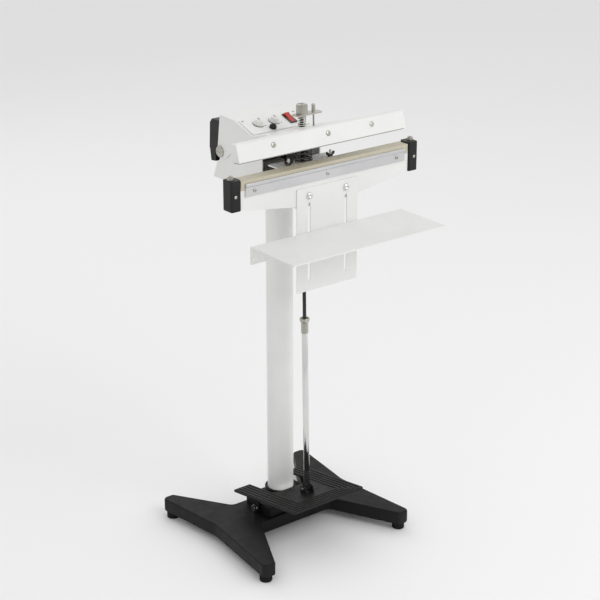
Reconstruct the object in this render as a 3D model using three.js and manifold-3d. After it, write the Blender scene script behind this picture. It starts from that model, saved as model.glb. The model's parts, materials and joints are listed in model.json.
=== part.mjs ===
// Foot-operated impulse heat sealer on a column stand, in millimetres.
// +Z is up, -Y is the operator's side and +X is the operator's right.
// Inside the model Y = 0 is the column's axis; the exported group moves the whole machine in Y,
// so that the origin lies on the floor under the middle of its bounding box.
import * as THREE from "three";
import { mergeVertices } from "three/addons/utils/BufferGeometryUtils.js";
import Module from "manifold-3d";

const wasm = await Module();
wasm.setup();

// ---------- driving dimensions ----------

const SHEET = 2.5; // thickness of the bent steel sheet
const SEAT = 0.1; // gap between pieces that rest on each other
const FIT = 0.3; // gap round a pin or shaft, and between pieces of a turned group

// Stand
const FOOT_RADIUS = 14;
const FOOT_HEIGHT = 15;
const FOOT_X = 186;
const FOOT_FRONT_Y = -192;
const FOOT_REAR_Y = 160;
const CASTING_HEIGHT = 31;
const CASTING_WALL = 7;
const LEG_TIP_X = 204; // outer edge of the base at the leg tips
const LEG_INNER_X = 174; // inner edge of a leg at its tip
const LEG_FRONT_Y = -211;
const LEG_REAR_Y = 178;
const WAIST_X = 180; // half width of the base where its sides pinch in
const CROTCH_X = 95; // where the legs spring from the cross beam
const CROTCH_Y = 54;
const HUB_X = 66;
const HUB_Y = 47;
const HUB_HEIGHT = 20; // above the casting's legs
const SOCKET_HEIGHT = 22; // above the hub
const SOCKET_WALL = 6;
const SOCKET_DEPTH = 38;
const COLUMN_RADIUS = 29;
const COLUMN_WALL = 2;
const COLUMN_FLANGE_WIDTH = 96;
const COLUMN_FLANGE_THICKNESS = 5;
const HEAD_FLOOR_Z = 796; // underside of the head frame

// Pedal, in a frame at its pivot with the tread level
const PEDAL_PIVOT_Y = -4;
const PEDAL_PIVOT_Z = 55;
const PEDAL_RISE = 9.2; // degrees that the tread rises towards the front at rest
const PEDAL_HALF_WIDTH = 98;
const PEDAL_FRONT = -180.5;
const PEDAL_REAR = 45;
const PEDAL_TOP = 38.7; // tread above the pivot
const PEDAL_THICKNESS = 4;
const PEDAL_NOTCH_X = 53; // half width of the cut-out round the column
const PEDAL_NOTCH_Y = -48;
const PEDAL_EAR_X = 68.5;
const PEDAL_EAR_THICKNESS = 4.5;
const PEDAL_EAR_RADIUS = 8.5;
const TREAD_RIBS = 5;
const TREAD_RIB_PITCH = 9;
const TREAD_RIB_WIDTH = 3.5;
const TREAD_RIB_HEIGHT = 1.6;
const PIVOT_BOLT_RADIUS = 4;
const CLEVIS_Y = -101; // pull rod's pin
const CLEVIS_Z = 49.5;
const CLEVIS_INNER_X = 8.2;
const CLEVIS_THICKNESS = 3;
const CLEVIS_PIN_RADIUS = 3;

// Pull rod, in a frame at its pin with the rod along +Z
const ROD_END_RADIUS = 7;
const ROD_END_TOP = 42;
const ROD_TUBE_RADIUS = 6.5;
const ROD_TUBE_WALL = 1.4;
const ROD_TUBE_DROP = 310.15; // tube's top below the head floor, along the rod
const THREAD_RADIUS = 4;
const THREAD_DEPTH = 36; // of the threaded rod inside the tube
const ADJUSTER_RADIUS = 7.6;
const ADJUSTER_RIM_RADIUS = 11;
const ADJUSTER_LENGTH = 34;
const STRIKER_RISE = 164.35; // striker above the head floor, along the rod
const STRIKER_THICKNESS = 3;
const STRIKER_LEFT_X = -19;
const STRIKER_RIGHT_X = 46;
const STRIKER_HALF_DEPTH = 10;
const STRIKER_SCREW_X = 30;
const STRIKER_SCREW_RADIUS = 1.5;
const STRIKER_SCREW_REACH = 28.3; // below the striker
const KNOB_RADIUS = 12;
const KNOB_HEIGHT = 20;

// Fixed head
const FRAME_HALF_WIDTH = 76;
const FRAME_WALL_TOP = 76; // above the head floor, at the back
const FRAME_WALL_LOW_TOP = 50; // above the head floor, at the front
const FRAME_WALL_STEP_Y = -43;
const FRAME_REAR_BOTTOM_Y = 130;
const FRAME_REAR_TOP_Y = 115;
const FRAME_REAR_HEIGHT = 38;
const PIVOT_Y = 99;
const PIVOT_HEIGHT = 62; // arm pivot above the head floor
const PIVOT_RADIUS = 6;
const PIVOT_HEAD_RADIUS = 12;
const PIVOT_HEAD_THICKNESS = 5;
const FRAME_EAR_REAR = [7.5, 2.5]; // how far the ears reach behind the pivot, at foot and top
const JAW_FRONT_Y = -160; // front face of the lower jaw's apron
const JAW_HALF_LENGTH = 216;
const JAW_DEPTH = 26;
const SHELF_HEIGHT = 69; // top of the jaw shelf above the head floor
const SHELF_REAR_Y = -60;
const HEATER_BAR_HEIGHT = 11.8;
const ELEMENT_WIDTH = 5;
const ELEMENT_THICKNESS = 0.5;
const COVER_THICKNESS = 0.6;
const COVER_DROP = 20;
const APRON_END_DROP = 46; // apron's height at its ends
const APRON_MID_DROP = 66;
const APRON_MID_X = 85;
const CLAMP_END_GAP = 11; // from the clamp's end to the jaw's
const CLAMP_HEIGHT = 26;
const CLAMP_THICKNESS = 2;
const CLAMP_SCREW_INSET = 22; // from the clamp's end
const BLOCK_WIDTH = 24;
const BLOCK_DEPTH = 30;
const BLOCK_HEIGHT = 63;
const BLOCK_RISE = 3.5; // above the sealing surface
const TERMINAL_RADIUS = 7;
const TERMINAL_HEIGHT = 7;
const STUD_X = 54;
const STUD_Y = -103;
const STUD_RADIUS = 2.5;
const WING_SPAN = 12;
const RETURN_SPRING_Y = -83.5;
const RETURN_SPRING_RADIUS = 17.5; // to the middle of the wire
const RETURN_SPRING_WIRE = 1.6;
const RETURN_SPRING_LENGTH = 65;
const RETURN_SPRING_TURNS = 6.5;
const PRESSURE_SPRING_RADIUS = 7.8;
const PRESSURE_SPRING_WIRE = 1.1;
const PRESSURE_SPRING_TURNS = 4;
const GLAND_RADIUS = 7;

// Bracket plate and work table
const BRACKET_HALF_WIDTH = 78.5;
const BRACKET_TOP_Z = 41; // above the head floor
const BRACKET_LENGTH = 221;
const SLOT_X = 47.5;
const SLOT_HALF_WIDTH = 3.25;
const SLOT_TOP = 10; // above the head floor
const SLOT_LENGTH = 168;
const BRACKET_BOLT_HEIGHT = 24; // above the head floor
const BRACKET_BOLT_RADIUS = 4;
const BRACKET_BOLT_HEAD = 7.5;
const TABLE_HALF_WIDTH = 196;
const TABLE_DEPTH = 141;
const TABLE_DROP = 52; // table's surface below the head floor
const TABLE_FLANGE = 38;
const TABLE_SCREW_RADIUS = 2.8;

// Upper arm, in a frame at its pivot with the jaws closed
const ARM_OPENING = 6.9; // degrees that the arm stands open at rest
const ARM_WALL = 2.5;
const ARM_SIDE_GAP = 0.5; // between the arm's sides and the frame's
const ARM_SHOULDER = 4;
const ARM_REAR_ROUND = 5;
const ARM_REAR_TOP = [-6.6, 79.8];
const ARM_REAR_BOTTOM = [19, -20];
const PANEL_TOP = [-56.1, 72.3];
const PANEL_FOOT = [-116, 43.7];
const ARM_FRONT = [-233.7, 61.4];
const SKIRT_REAR = -14.5;
const SKIRT_KNEE = [-46.8, 3.4];
const SKIRT_FRONT = [-159, 26];
const GUSSET_REACH = 12; // of the arm's gusset beyond the outer jaw screws
const GUSSET_REAR = -140;
const ROD_HOLE_Y = -185.3;
const ROD_HOLE_RADIUS = 7;
const ROD_BOSS_RADIUS = 12;
const ROD_BOSS_TOP = 57;
const ROD_CROSSING = 58.05; // height at which the rod crosses the hole's axis at rest
const JAW_BAR_END_GAP = 2.5; // from the bar's end to the lower jaw's
const JAW_BAR_DEPTH = 25;
const JAW_BAR_HEIGHT = 36.3;
const JAW_BAR_LEAN = 6.6; // how far its face leans back
const JAW_BAR_WALL = 2;
const JAW_SCREW_INSET = 87.5; // of the outer two, from the bar's ends
const JAW_SCREW_MIDDLE = 12;
const JAW_SCREW_RADIUS = 2;
const JAW_SCREW_HEAD = 5.6;
const JAW_SCREW_HEIGHT = 21.6;
const RUBBER_HEIGHT = 7.7;
const REAR_COVER_HALF_WIDTH = 76;
const REAR_COVER_WALL = 2.5;
const SWITCH_SIZE = [16, 10, 16];
const SWITCH_TOP = 47;
const PLUNGER_RADIUS = 1.2;
const PLUNGER_HEIGHT = 2; // above the switch
const PLUNGER_SEAT = 2; // of the plunger's length inside the switch at rest
const PLUNGER_TRAVEL = 1.2;

// Control panel, in a frame at its lower edge with the plate level
const PANEL_HALF_WIDTH = 73;
const PANEL_LENGTH = 58;
const PANEL_THICKNESS = 1.5;
const DIAL_X = [-38, 2.5];
const DIAL_Y = 32;
const DIAL_RADIUS = 9.5;
const DIAL_HEIGHT = 11;
const DIAL_SHAFT_RADIUS = 3;
const FUSE_X = -17;
const FUSE_Y = 10;
const FUSE_CAP_RADIUS = 7.5;
const FUSE_STEM_RADIUS = 5.5;
const ROCKER_X = 41;
const ROCKER_Y = 30;
const ROCKER_WIDTH = 17;
const ROCKER_LENGTH = 35;
const ROCKER_BEZEL = 2.4;
const ROCKER_TILT = 10;

// ---------- finishes ----------

function finish(color, roughness, metalness) {
  return new THREE.MeshStandardMaterial({ color, roughness, metalness });
}

const WHITE_PAINT = finish(0xf2f2ef, 0.35, 0);
const BLACK_PAINT = finish(0x1b1c1b, 0.55, 0);
const CAST_IRON = finish(0x191b1a, 0.6, 0.1);
const RUBBER = finish(0x2b2c2c, 0.85, 0);
const CHROME = finish(0xc8c9c6, 0.15, 1);
const ZINC = finish(0xb9b7ab, 0.35, 1);
const DARK_STEEL = finish(0x5b5a55, 0.45, 1);
const ALUMINIUM = finish(0xc9cac9, 0.3, 1);
const TAN_CLOTH = finish(0xb3a98d, 0.5, 0);
const SILICONE = finish(0xa9aaa6, 0.7, 0);
const BLACK_PLASTIC = finish(0x141414, 0.4, 0);
const WHITE_PLASTIC = finish(0xf0f0ee, 0.4, 0);
const RED_PLASTIC = finish(0xb81d10, 0.3, 0);
const BAKELITE = finish(0x6a4a2c, 0.6, 0);
const NICHROME = finish(0x8c8a86, 0.4, 1);
const CIRCUIT_BOARD = finish(0x1f5a33, 0.5, 0);

// ---------- shape helpers ----------

// A closed three.js geometry as a solid for joining and cutting.
function solidOf(geometry) {
  const bare = geometry.clone();
  bare.deleteAttribute("normal");
  bare.deleteAttribute("uv");
  const merged = mergeVertices(bare, 1e-4);
  return new wasm.Manifold(
    new wasm.Mesh({
      numProp: 3,
      vertProperties: merged.attributes.position.array,
      triVerts: new Uint32Array(merged.index.array),
    }),
  );
}

// A solid as a three.js geometry again.
function geometryOf(solid) {
  const shell = solid.getMesh();
  const geometry = new THREE.BufferGeometry();
  geometry.setAttribute("position", new THREE.BufferAttribute(shell.vertProperties, 3));
  geometry.setIndex(new THREE.BufferAttribute(shell.triVerts, 1));
  geometry.computeVertexNormals();
  return geometry;
}

function join(...geometries) {
  return geometryOf(geometries.map(solidOf).reduce((all, next) => all.add(next)));
}

function cut(body, ...tools) {
  return geometryOf(tools.map(solidOf).reduce((left, tool) => left.subtract(tool), solidOf(body)));
}

function common(first, second) {
  return geometryOf(solidOf(first).intersect(solidOf(second)));
}

// An outline of [a, b] or [a, b, radius] corners as a shape whose rounded corners are arcs.
function outlineShape(corners) {
  const shape = new THREE.Shape();
  const pointAt = (i) => new THREE.Vector2(...corners[(i + corners.length) % corners.length]);
  corners.forEach(([, , radius = 0], i) => {
    const corner = pointAt(i);
    const back = pointAt(i - 1).sub(corner).normalize();
    const ahead = pointAt(i + 1).sub(corner).normalize();
    const halfAngle = Math.acos(THREE.MathUtils.clamp(back.dot(ahead), -1, 1)) / 2;
    const start = corner.clone().addScaledVector(back, radius / Math.tan(halfAngle));
    if (i) {
      shape.lineTo(start.x, start.y);
    } else {
      shape.moveTo(start.x, start.y);
    }
    if (radius) {
      const centre = back.clone().add(ahead).normalize();
      centre.multiplyScalar(radius / Math.sin(halfAngle)).add(corner);
      const end = corner.clone().addScaledVector(ahead, radius / Math.tan(halfAngle));
      const from = start.clone().sub(centre).angle();
      const to = end.clone().sub(centre).angle();
      shape.absarc(centre.x, centre.y, radius, from, to, back.cross(ahead) > 0);
    }
  });
  shape.closePath();
  return shape;
}

// How an outline's two directions and its extrusion lie in space, for each extrusion axis.
// Along X an outline holds (Y, Z), along Y it holds (X, Z) and along Z it holds (X, Y).
const X_UNIT = new THREE.Vector3(1, 0, 0);
const Y_UNIT = new THREE.Vector3(0, 1, 0);
const Z_UNIT = new THREE.Vector3(0, 0, 1);
const BASIS = {
  x: new THREE.Matrix4().makeBasis(Y_UNIT, Z_UNIT, X_UNIT),
  y: new THREE.Matrix4().makeBasis(X_UNIT, Z_UNIT, Y_UNIT.clone().negate()),
  z: new THREE.Matrix4().makeBasis(X_UNIT, Y_UNIT, Z_UNIT),
};

// An outline extruded along an axis between two places, with its end edges rounded by bevel.
function prism(corners, axis, from, to, bevel = 0, arcSteps = 3) {
  const geometry = new THREE.ExtrudeGeometry(outlineShape(corners), {
    depth: to - from - 2 * bevel,
    bevelEnabled: bevel > 0,
    bevelThickness: bevel,
    bevelSize: bevel,
    bevelOffset: -bevel,
    bevelSegments: 2,
    curveSegments: arcSteps,
  });
  geometry.translate(0, 0, bevel);
  geometry.applyMatrix4(BASIS[axis]);
  const start = axis === "y" ? to : from;
  const shift = { x: [start, 0, 0], y: [0, start, 0], z: [0, 0, start] }[axis];
  return geometry.translate(...shift);
}

function rectangle(a0, a1, b0, b1, radius = 0) {
  return [
    [a0, b0, radius],
    [a1, b0, radius],
    [a1, b1, radius],
    [a0, b1, radius],
  ];
}

// A box between two corners.
function block(x0, x1, y0, y1, z0, z1) {
  return new THREE.BoxGeometry(x1 - x0, y1 - y0, z1 - z0).translate(
    (x0 + x1) / 2,
    (y0 + y1) / 2,
    (z0 + z1) / 2,
  );
}

// A turned piece about Z from its [radius, height] profile, listed from the bottom up.
function turned(profile, segments = 18) {
  const points = profile.map(([radius, height]) => new THREE.Vector2(radius, height));
  return new THREE.LatheGeometry(points, segments).rotateX(Math.PI / 2);
}

// A cylinder along Z between two heights.
function rod(radius, from, to, segments = 18) {
  return turned(
    [
      [0, from],
      [radius, from],
      [radius, to],
      [0, to],
    ],
    segments,
  );
}

// A tube along Z between two heights.
function tube(outer, inner, from, to, segments = 18) {
  return turned(
    [
      [inner, from],
      [outer, from],
      [outer, to],
      [inner, to],
      [inner, from],
    ],
    segments,
  );
}

// A hexagon bar along Z between two heights; its size is across the corners.
function hexagon(radius, from, to) {
  return rod(radius, from, to, 6);
}

// Turn a piece made along Z to lie along another axis.
function alongX(geometry) {
  return geometry.rotateY(Math.PI / 2);
}

function towardsFront(geometry) {
  return geometry.rotateX(Math.PI / 2);
}

// A compression spring along Z, closed by a flat turn at each end.
function coilSpring(radius, wire, length, turns) {
  const stepsPerTurn = 12;
  const closedTurns = 0.75;
  const travel = length - 2 * wire;
  const total = turns + 2 * closedTurns;
  const points = [];
  for (let i = 0; i <= total * stepsPerTurn; i += 1) {
    const turn = i / stepsPerTurn;
    const rise = THREE.MathUtils.smoothstep(turn, 0, closedTurns) * closedTurns * 0.5;
    const fall = THREE.MathUtils.smoothstep(turn, total - closedTurns, total) * closedTurns * 0.5;
    const open = THREE.MathUtils.clamp(turn - closedTurns, 0, turns);
    const share = (rise + open + fall) / (turns + closedTurns);
    const angle = turn * 2 * Math.PI;
    points.push(
      new THREE.Vector3(radius * Math.cos(angle), radius * Math.sin(angle), wire + travel * share),
    );
  }
  const path = new THREE.CatmullRomCurve3(points);
  const section = new THREE.Shape().absarc(0, 0, wire, 0, 2 * Math.PI, false);
  return new THREE.ExtrudeGeometry(section, {
    steps: points.length - 1,
    extrudePath: path,
    curveSegments: 3,
  });
}

// The same outline with every edge moved inwards; corners are listed anticlockwise.
function inset(corners, distance) {
  const count = corners.length;
  const edge = (i) => {
    const from = new THREE.Vector2(...corners[i % count]);
    const along = new THREE.Vector2(...corners[(i + 1) % count]).sub(from).normalize();
    const inward = new THREE.Vector2(-along.y, along.x);
    return { from: from.addScaledVector(inward, distance), along };
  };
  return corners.map(([, , radius = 0], i) => {
    const before = edge(i + count - 1);
    const after = edge(i);
    const gap = after.from.clone().sub(before.from);
    const reach = gap.cross(after.along) / before.along.cross(after.along);
    const corner = before.from.addScaledVector(before.along, reach);
    return [corner.x, corner.y, Math.max(radius - distance, 0)];
  });
}

function mirrored(corners) {
  return corners.map(([x, y, radius = 0]) => [-x, y, radius]).reverse();
}

function piece(parent, name, geometry, material) {
  const mesh = new THREE.Mesh(geometry, material.clone());
  mesh.name = name;
  parent.add(mesh);
  return mesh;
}

const SIDES = [
  ["left", -1],
  ["right", 1],
];

const machine = new THREE.Group();

// ---------- stand ----------

const castingTop = FOOT_HEIGHT + CASTING_HEIGHT;
const hubTop = castingTop + HUB_HEIGHT;
const socketTop = hubTop + SOCKET_HEIGHT;
const columnBottom = socketTop - SOCKET_DEPTH;
const socketRadius = COLUMN_RADIUS + SOCKET_WALL;

function baseCasting() {
  const rightSide = [
    [CROTCH_X, -CROTCH_Y, 16],
    [LEG_INNER_X, LEG_FRONT_Y, 8],
    [LEG_TIP_X, LEG_FRONT_Y, 12],
    [WAIST_X, 0, 60],
    [LEG_TIP_X, LEG_REAR_Y, 12],
    [LEG_INNER_X, LEG_REAR_Y, 8],
    [CROTCH_X, CROTCH_Y, 16],
  ];
  const plan = [...rightSide, ...mirrored(rightSide)];
  const legs = prism(plan, "z", FOOT_HEIGHT, castingTop, 4);
  const hub = prism(rectangle(-HUB_X, HUB_X, -HUB_Y, HUB_Y, 10), "z", castingTop - 5, hubTop, 3);
  const socket = rod(socketRadius, castingTop, socketTop, 40);
  const cavity = prism(inset(plan, CASTING_WALL), "z", FOOT_HEIGHT - 1, castingTop - CASTING_WALL);
  const betweenFeet = block(
    -LEG_TIP_X,
    LEG_TIP_X,
    FOOT_FRONT_Y + FOOT_RADIUS,
    FOOT_REAR_Y - FOOT_RADIUS,
    FOOT_HEIGHT - 1,
    castingTop,
  );
  const bore = rod(COLUMN_RADIUS + SEAT, columnBottom - SEAT, socketTop + 1, 40);
  const boltHole = alongX(rod(PIVOT_BOLT_RADIUS + SEAT, -HUB_X - 1, HUB_X + 1, 16));
  boltHole.translate(0, PEDAL_PIVOT_Y, PEDAL_PIVOT_Z);
  const hubWeb = block(-HUB_X + 14, HUB_X - 14, -HUB_Y, HUB_Y, castingTop - CASTING_WALL, hubTop);
  const boltHoles = cut(boltHole, hubWeb);
  return cut(join(legs, hub, socket), common(cavity, betweenFeet), bore, boltHoles);
}

function foot() {
  return turned([
    [0, 0],
    [FOOT_RADIUS - 1.5, 0],
    [FOOT_RADIUS, 1.5],
    [FOOT_RADIUS, FOOT_HEIGHT - 4],
    [FOOT_RADIUS - 1, FOOT_HEIGHT - SEAT],
    [0, FOOT_HEIGHT - SEAT],
  ]);
}

function columnTube() {
  const top = HEAD_FLOOR_Z - SEAT;
  const flangeHalf = COLUMN_FLANGE_WIDTH / 2;
  const shell = rod(COLUMN_RADIUS, columnBottom, top - 1, 40);
  const outline = rectangle(-flangeHalf, flangeHalf, -flangeHalf, flangeHalf, 8);
  const flange = prism(outline, "z", top - COLUMN_FLANGE_THICKNESS, top);
  const inside = rod(COLUMN_RADIUS - COLUMN_WALL, columnBottom - 1, top + 1, 40);
  return cut(join(shell, flange), inside);
}

piece(machine, "base_casting", baseCasting(), CAST_IRON);
for (const [side, sign] of SIDES) {
  piece(machine, `foot_front_${side}`, foot(), RUBBER).position.set(sign * FOOT_X, FOOT_FRONT_Y, 0);
  piece(machine, `foot_rear_${side}`, foot(), RUBBER).position.set(sign * FOOT_X, FOOT_REAR_Y, 0);
}
piece(machine, "column_tube", columnTube(), WHITE_PAINT);

// ---------- pedal ----------

function pedalPlate() {
  const underside = PEDAL_TOP - PEDAL_THICKNESS;
  const plan = [
    [-PEDAL_HALF_WIDTH, PEDAL_FRONT, 8],
    [PEDAL_HALF_WIDTH, PEDAL_FRONT, 8],
    [PEDAL_HALF_WIDTH, PEDAL_REAR, 5],
    [PEDAL_NOTCH_X, PEDAL_REAR, 5],
    [PEDAL_NOTCH_X, PEDAL_NOTCH_Y, 18],
    [-PEDAL_NOTCH_X, PEDAL_NOTCH_Y, 18],
    [-PEDAL_NOTCH_X, PEDAL_REAR, 5],
    [-PEDAL_HALF_WIDTH, PEDAL_REAR, 5],
  ];
  const pieces = [prism(plan, "z", underside, PEDAL_TOP)];
  for (let i = 0; i < TREAD_RIBS; i += 1) {
    const margin = 4 + i * TREAD_RIB_PITCH;
    const outer = PEDAL_HALF_WIDTH - margin;
    const inner = outer - TREAD_RIB_WIDTH;
    const front = PEDAL_FRONT + margin;
    const rib = [
      [-outer, front, 5],
      [outer, front, 5],
      [outer, PEDAL_REAR - 4],
      [inner, PEDAL_REAR - 4],
      [inner, front + TREAD_RIB_WIDTH, 3],
      [-inner, front + TREAD_RIB_WIDTH, 3],
      [-inner, PEDAL_REAR - 4],
      [-outer, PEDAL_REAR - 4],
    ];
    pieces.push(prism(rib, "z", PEDAL_TOP - 0.5, PEDAL_TOP + TREAD_RIB_HEIGHT, 0, 2));
  }
  for (const [, sign] of SIDES) {
    const earCorners = [
      [-20, underside + 1],
      [-PEDAL_EAR_RADIUS, 0],
      [PEDAL_EAR_RADIUS, 0],
      [20, underside + 1],
    ];
    const earFrom = Math.min(sign * PEDAL_EAR_X, sign * (PEDAL_EAR_X + PEDAL_EAR_THICKNESS));
    const earTo = earFrom + PEDAL_EAR_THICKNESS;
    pieces.push(prism(earCorners, "x", earFrom, earTo));
    pieces.push(alongX(rod(PEDAL_EAR_RADIUS, earFrom, earTo)));
    const lugCorners = [
      [CLEVIS_Y - 11, PEDAL_TOP - 1],
      [CLEVIS_Y + 11, PEDAL_TOP - 1],
      [CLEVIS_Y + 8, CLEVIS_Z + 6, 5],
      [CLEVIS_Y - 8, CLEVIS_Z + 6, 5],
    ];
    const lugFrom = Math.min(sign * CLEVIS_INNER_X, sign * (CLEVIS_INNER_X + CLEVIS_THICKNESS));
    pieces.push(prism(lugCorners, "x", lugFrom, lugFrom + CLEVIS_THICKNESS));
  }
  const span = PEDAL_HALF_WIDTH;
  const pinHole = alongX(rod(CLEVIS_PIN_RADIUS + FIT, -20, 20, 16)).translate(0, CLEVIS_Y, CLEVIS_Z);
  const boltHole = alongX(rod(PIVOT_BOLT_RADIUS + FIT, -span, span, 16));
  return cut(join(...pieces), pinHole, boltHole);
}

function pedalPivotBolt(sign) {
  const seat = PEDAL_EAR_X + PEDAL_EAR_THICKNESS + 1;
  const bolt = join(
    rod(PIVOT_BOLT_RADIUS, HUB_X - 10, seat + 1, 16),
    rod(8.5, seat, seat + 1.6),
    hexagon(8, seat + 1.5, seat + 7),
  );
  alongX(bolt);
  if (sign < 0) bolt.rotateZ(Math.PI);
  return bolt;
}

const pedal = new THREE.Group();
pedal.position.set(0, PEDAL_PIVOT_Y, PEDAL_PIVOT_Z);
pedal.rotation.x = -THREE.MathUtils.degToRad(PEDAL_RISE);
machine.add(pedal);
piece(pedal, "pedal", pedalPlate(), CAST_IRON);

const pinHalf = CLEVIS_INNER_X + CLEVIS_THICKNESS;
const clevisPin = alongX(
  join(
    rod(CLEVIS_PIN_RADIUS, -pinHalf - 3, pinHalf + 1, 16),
    rod(CLEVIS_PIN_RADIUS + 2, pinHalf + FIT, pinHalf + 2.5, 16),
  ),
);
piece(pedal, "clevis_pin", clevisPin, ZINC).position.set(0, CLEVIS_Y, CLEVIS_Z);
for (const [side, sign] of SIDES) {
  const bolt = piece(machine, `pedal_pivot_bolt_${side}`, pedalPivotBolt(sign), CHROME);
  bolt.position.set(0, PEDAL_PIVOT_Y, PEDAL_PIVOT_Z);
}

// ---------- pull rod ----------

const pinPlace = new THREE.Vector3(0, CLEVIS_Y, CLEVIS_Z);
pinPlace.applyEuler(pedal.rotation).add(pedal.position);

const arm = new THREE.Group();
arm.position.set(0, PIVOT_Y, HEAD_FLOOR_Z + PIVOT_HEIGHT);
arm.rotation.x = -THREE.MathUtils.degToRad(ARM_OPENING);

const crossing = new THREE.Vector3(0, ROD_HOLE_Y, ROD_CROSSING);
crossing.applyEuler(arm.rotation).add(arm.position);
const rodLean = Math.atan2(crossing.y - pinPlace.y, crossing.z - pinPlace.z);
const rodReach = (HEAD_FLOOR_Z - pinPlace.z) / Math.cos(rodLean); // from the pin to the head floor
const rodTubeTop = rodReach - ROD_TUBE_DROP;
const strikerBottom = rodReach + STRIKER_RISE;

const pullRod = new THREE.Group();
pullRod.position.copy(pinPlace);
pullRod.rotation.x = -rodLean;
machine.add(pullRod);

const tubeBore = ROD_TUBE_RADIUS - ROD_TUBE_WALL;
const threadHole = THREAD_RADIUS + FIT;

function rodEnd() {
  const eyeHalf = CLEVIS_INNER_X - 1;
  const eye = prism(rectangle(-6.5, 6.5, -7, 14, 5), "x", -eyeHalf, eyeHalf);
  const sleeve = rod(ROD_END_RADIUS, 8, ROD_END_TOP);
  const spigot = rod(tubeBore - FIT, ROD_END_TOP - 1, ROD_END_TOP + 18);
  const hole = alongX(rod(CLEVIS_PIN_RADIUS + FIT, -10, 10, 16));
  return cut(join(eye, sleeve, spigot), hole);
}

function adjusterNut() {
  const bottom = rodTubeTop + FIT;
  const rimBottom = bottom + ADJUSTER_LENGTH - 11;
  return turned(
    [
      [threadHole, bottom],
      [ADJUSTER_RADIUS, bottom],
      [ADJUSTER_RADIUS, rimBottom],
      [ADJUSTER_RIM_RADIUS, rimBottom + 6],
      [ADJUSTER_RIM_RADIUS, rimBottom + 9],
      [ADJUSTER_RIM_RADIUS - 2, rimBottom + 11],
      [THREAD_RADIUS + 3, rimBottom + 5],
      [threadHole, rimBottom + 5],
      [threadHole, bottom],
    ],
    18,
  );
}

const strikerTop = strikerBottom + STRIKER_THICKNESS;
const knobBottom = strikerTop + FIT;

function pressureKnob() {
  const top = knobBottom + KNOB_HEIGHT;
  return turned(
    [
      [threadHole, knobBottom],
      [KNOB_RADIUS - 1, knobBottom],
      [KNOB_RADIUS, knobBottom + 1],
      [KNOB_RADIUS, top - 3],
      [KNOB_RADIUS - 0.9, top - 0.9],
      [KNOB_RADIUS - 3, top],
      [0, top],
      [0, top - 4],
      [threadHole, top - 4],
      [threadHole, knobBottom],
    ],
    24,
  );
}

function strikerPlate() {
  const depth = STRIKER_HALF_DEPTH;
  const outline = rectangle(STRIKER_LEFT_X, STRIKER_RIGHT_X, -depth, depth, 3);
  const screwHole = rod(STRIKER_SCREW_RADIUS + FIT, strikerBottom - 1, strikerTop + 1, 12);
  return cut(
    prism(outline, "z", strikerBottom, strikerTop, 0, 3),
    rod(threadHole, strikerBottom - 1, strikerTop + 1),
    screwHole.translate(STRIKER_SCREW_X, 0, 0),
  );
}

const strikerTip = strikerBottom - STRIKER_SCREW_REACH;
const strikerScrew = turned(
  [
    [0, strikerTip],
    [STRIKER_SCREW_RADIUS, strikerTip],
    [STRIKER_SCREW_RADIUS, strikerTop + FIT],
    [4, strikerTop + FIT],
    [4, strikerTop + 15],
    [3.2, strikerTop + 16],
    [0, strikerTop + 16],
  ],
  16,
);

const threadTop = knobBottom + KNOB_HEIGHT - 4 - FIT;
piece(pullRod, "rod_end", rodEnd(), BLACK_PAINT);
piece(pullRod, "rod_tube", tube(ROD_TUBE_RADIUS, tubeBore, ROD_END_TOP + FIT, rodTubeTop), CHROME);
const threadedRod = rod(THREAD_RADIUS, rodTubeTop - THREAD_DEPTH, threadTop, 20);
piece(pullRod, "threaded_rod", threadedRod, DARK_STEEL);
piece(pullRod, "adjuster_nut", adjusterNut(), ZINC);
piece(pullRod, "striker_plate", strikerPlate(), ZINC);
piece(pullRod, "pressure_knob", pressureKnob(), ZINC);
piece(pullRod, "striker_screw", strikerScrew, ZINC).position.x = STRIKER_SCREW_X;

// ---------- head frame ----------

const floorTop = HEAD_FLOOR_Z + SHEET;
const pivotZ = HEAD_FLOOR_Z + PIVOT_HEIGHT;
const shelfTop = HEAD_FLOOR_Z + SHELF_HEIGHT;
const apronRear = JAW_FRONT_Y + SHEET;
const flangeFront = apronRear + SEAT; // the frame's front flange
const supportFront = flangeFront + SHEET + SEAT; // the jaw support's upright

// The rod's place in Y where it passes a height at rest.
function rodYAt(height) {
  return pinPlace.y + (height - pinPlace.z) * Math.tan(rodLean);
}

// A slot that lets the rod swing forwards as the pedal goes down.
function rodSlot(height) {
  const rear = rodYAt(height) + THREAD_RADIUS + 3;
  const front = rear - 2 * THREAD_RADIUS - 16;
  const half = THREAD_RADIUS + 2.5;
  return prism(rectangle(-half, half, front, rear, half - 0.5), "z", height - 5, height + 5);
}

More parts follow.
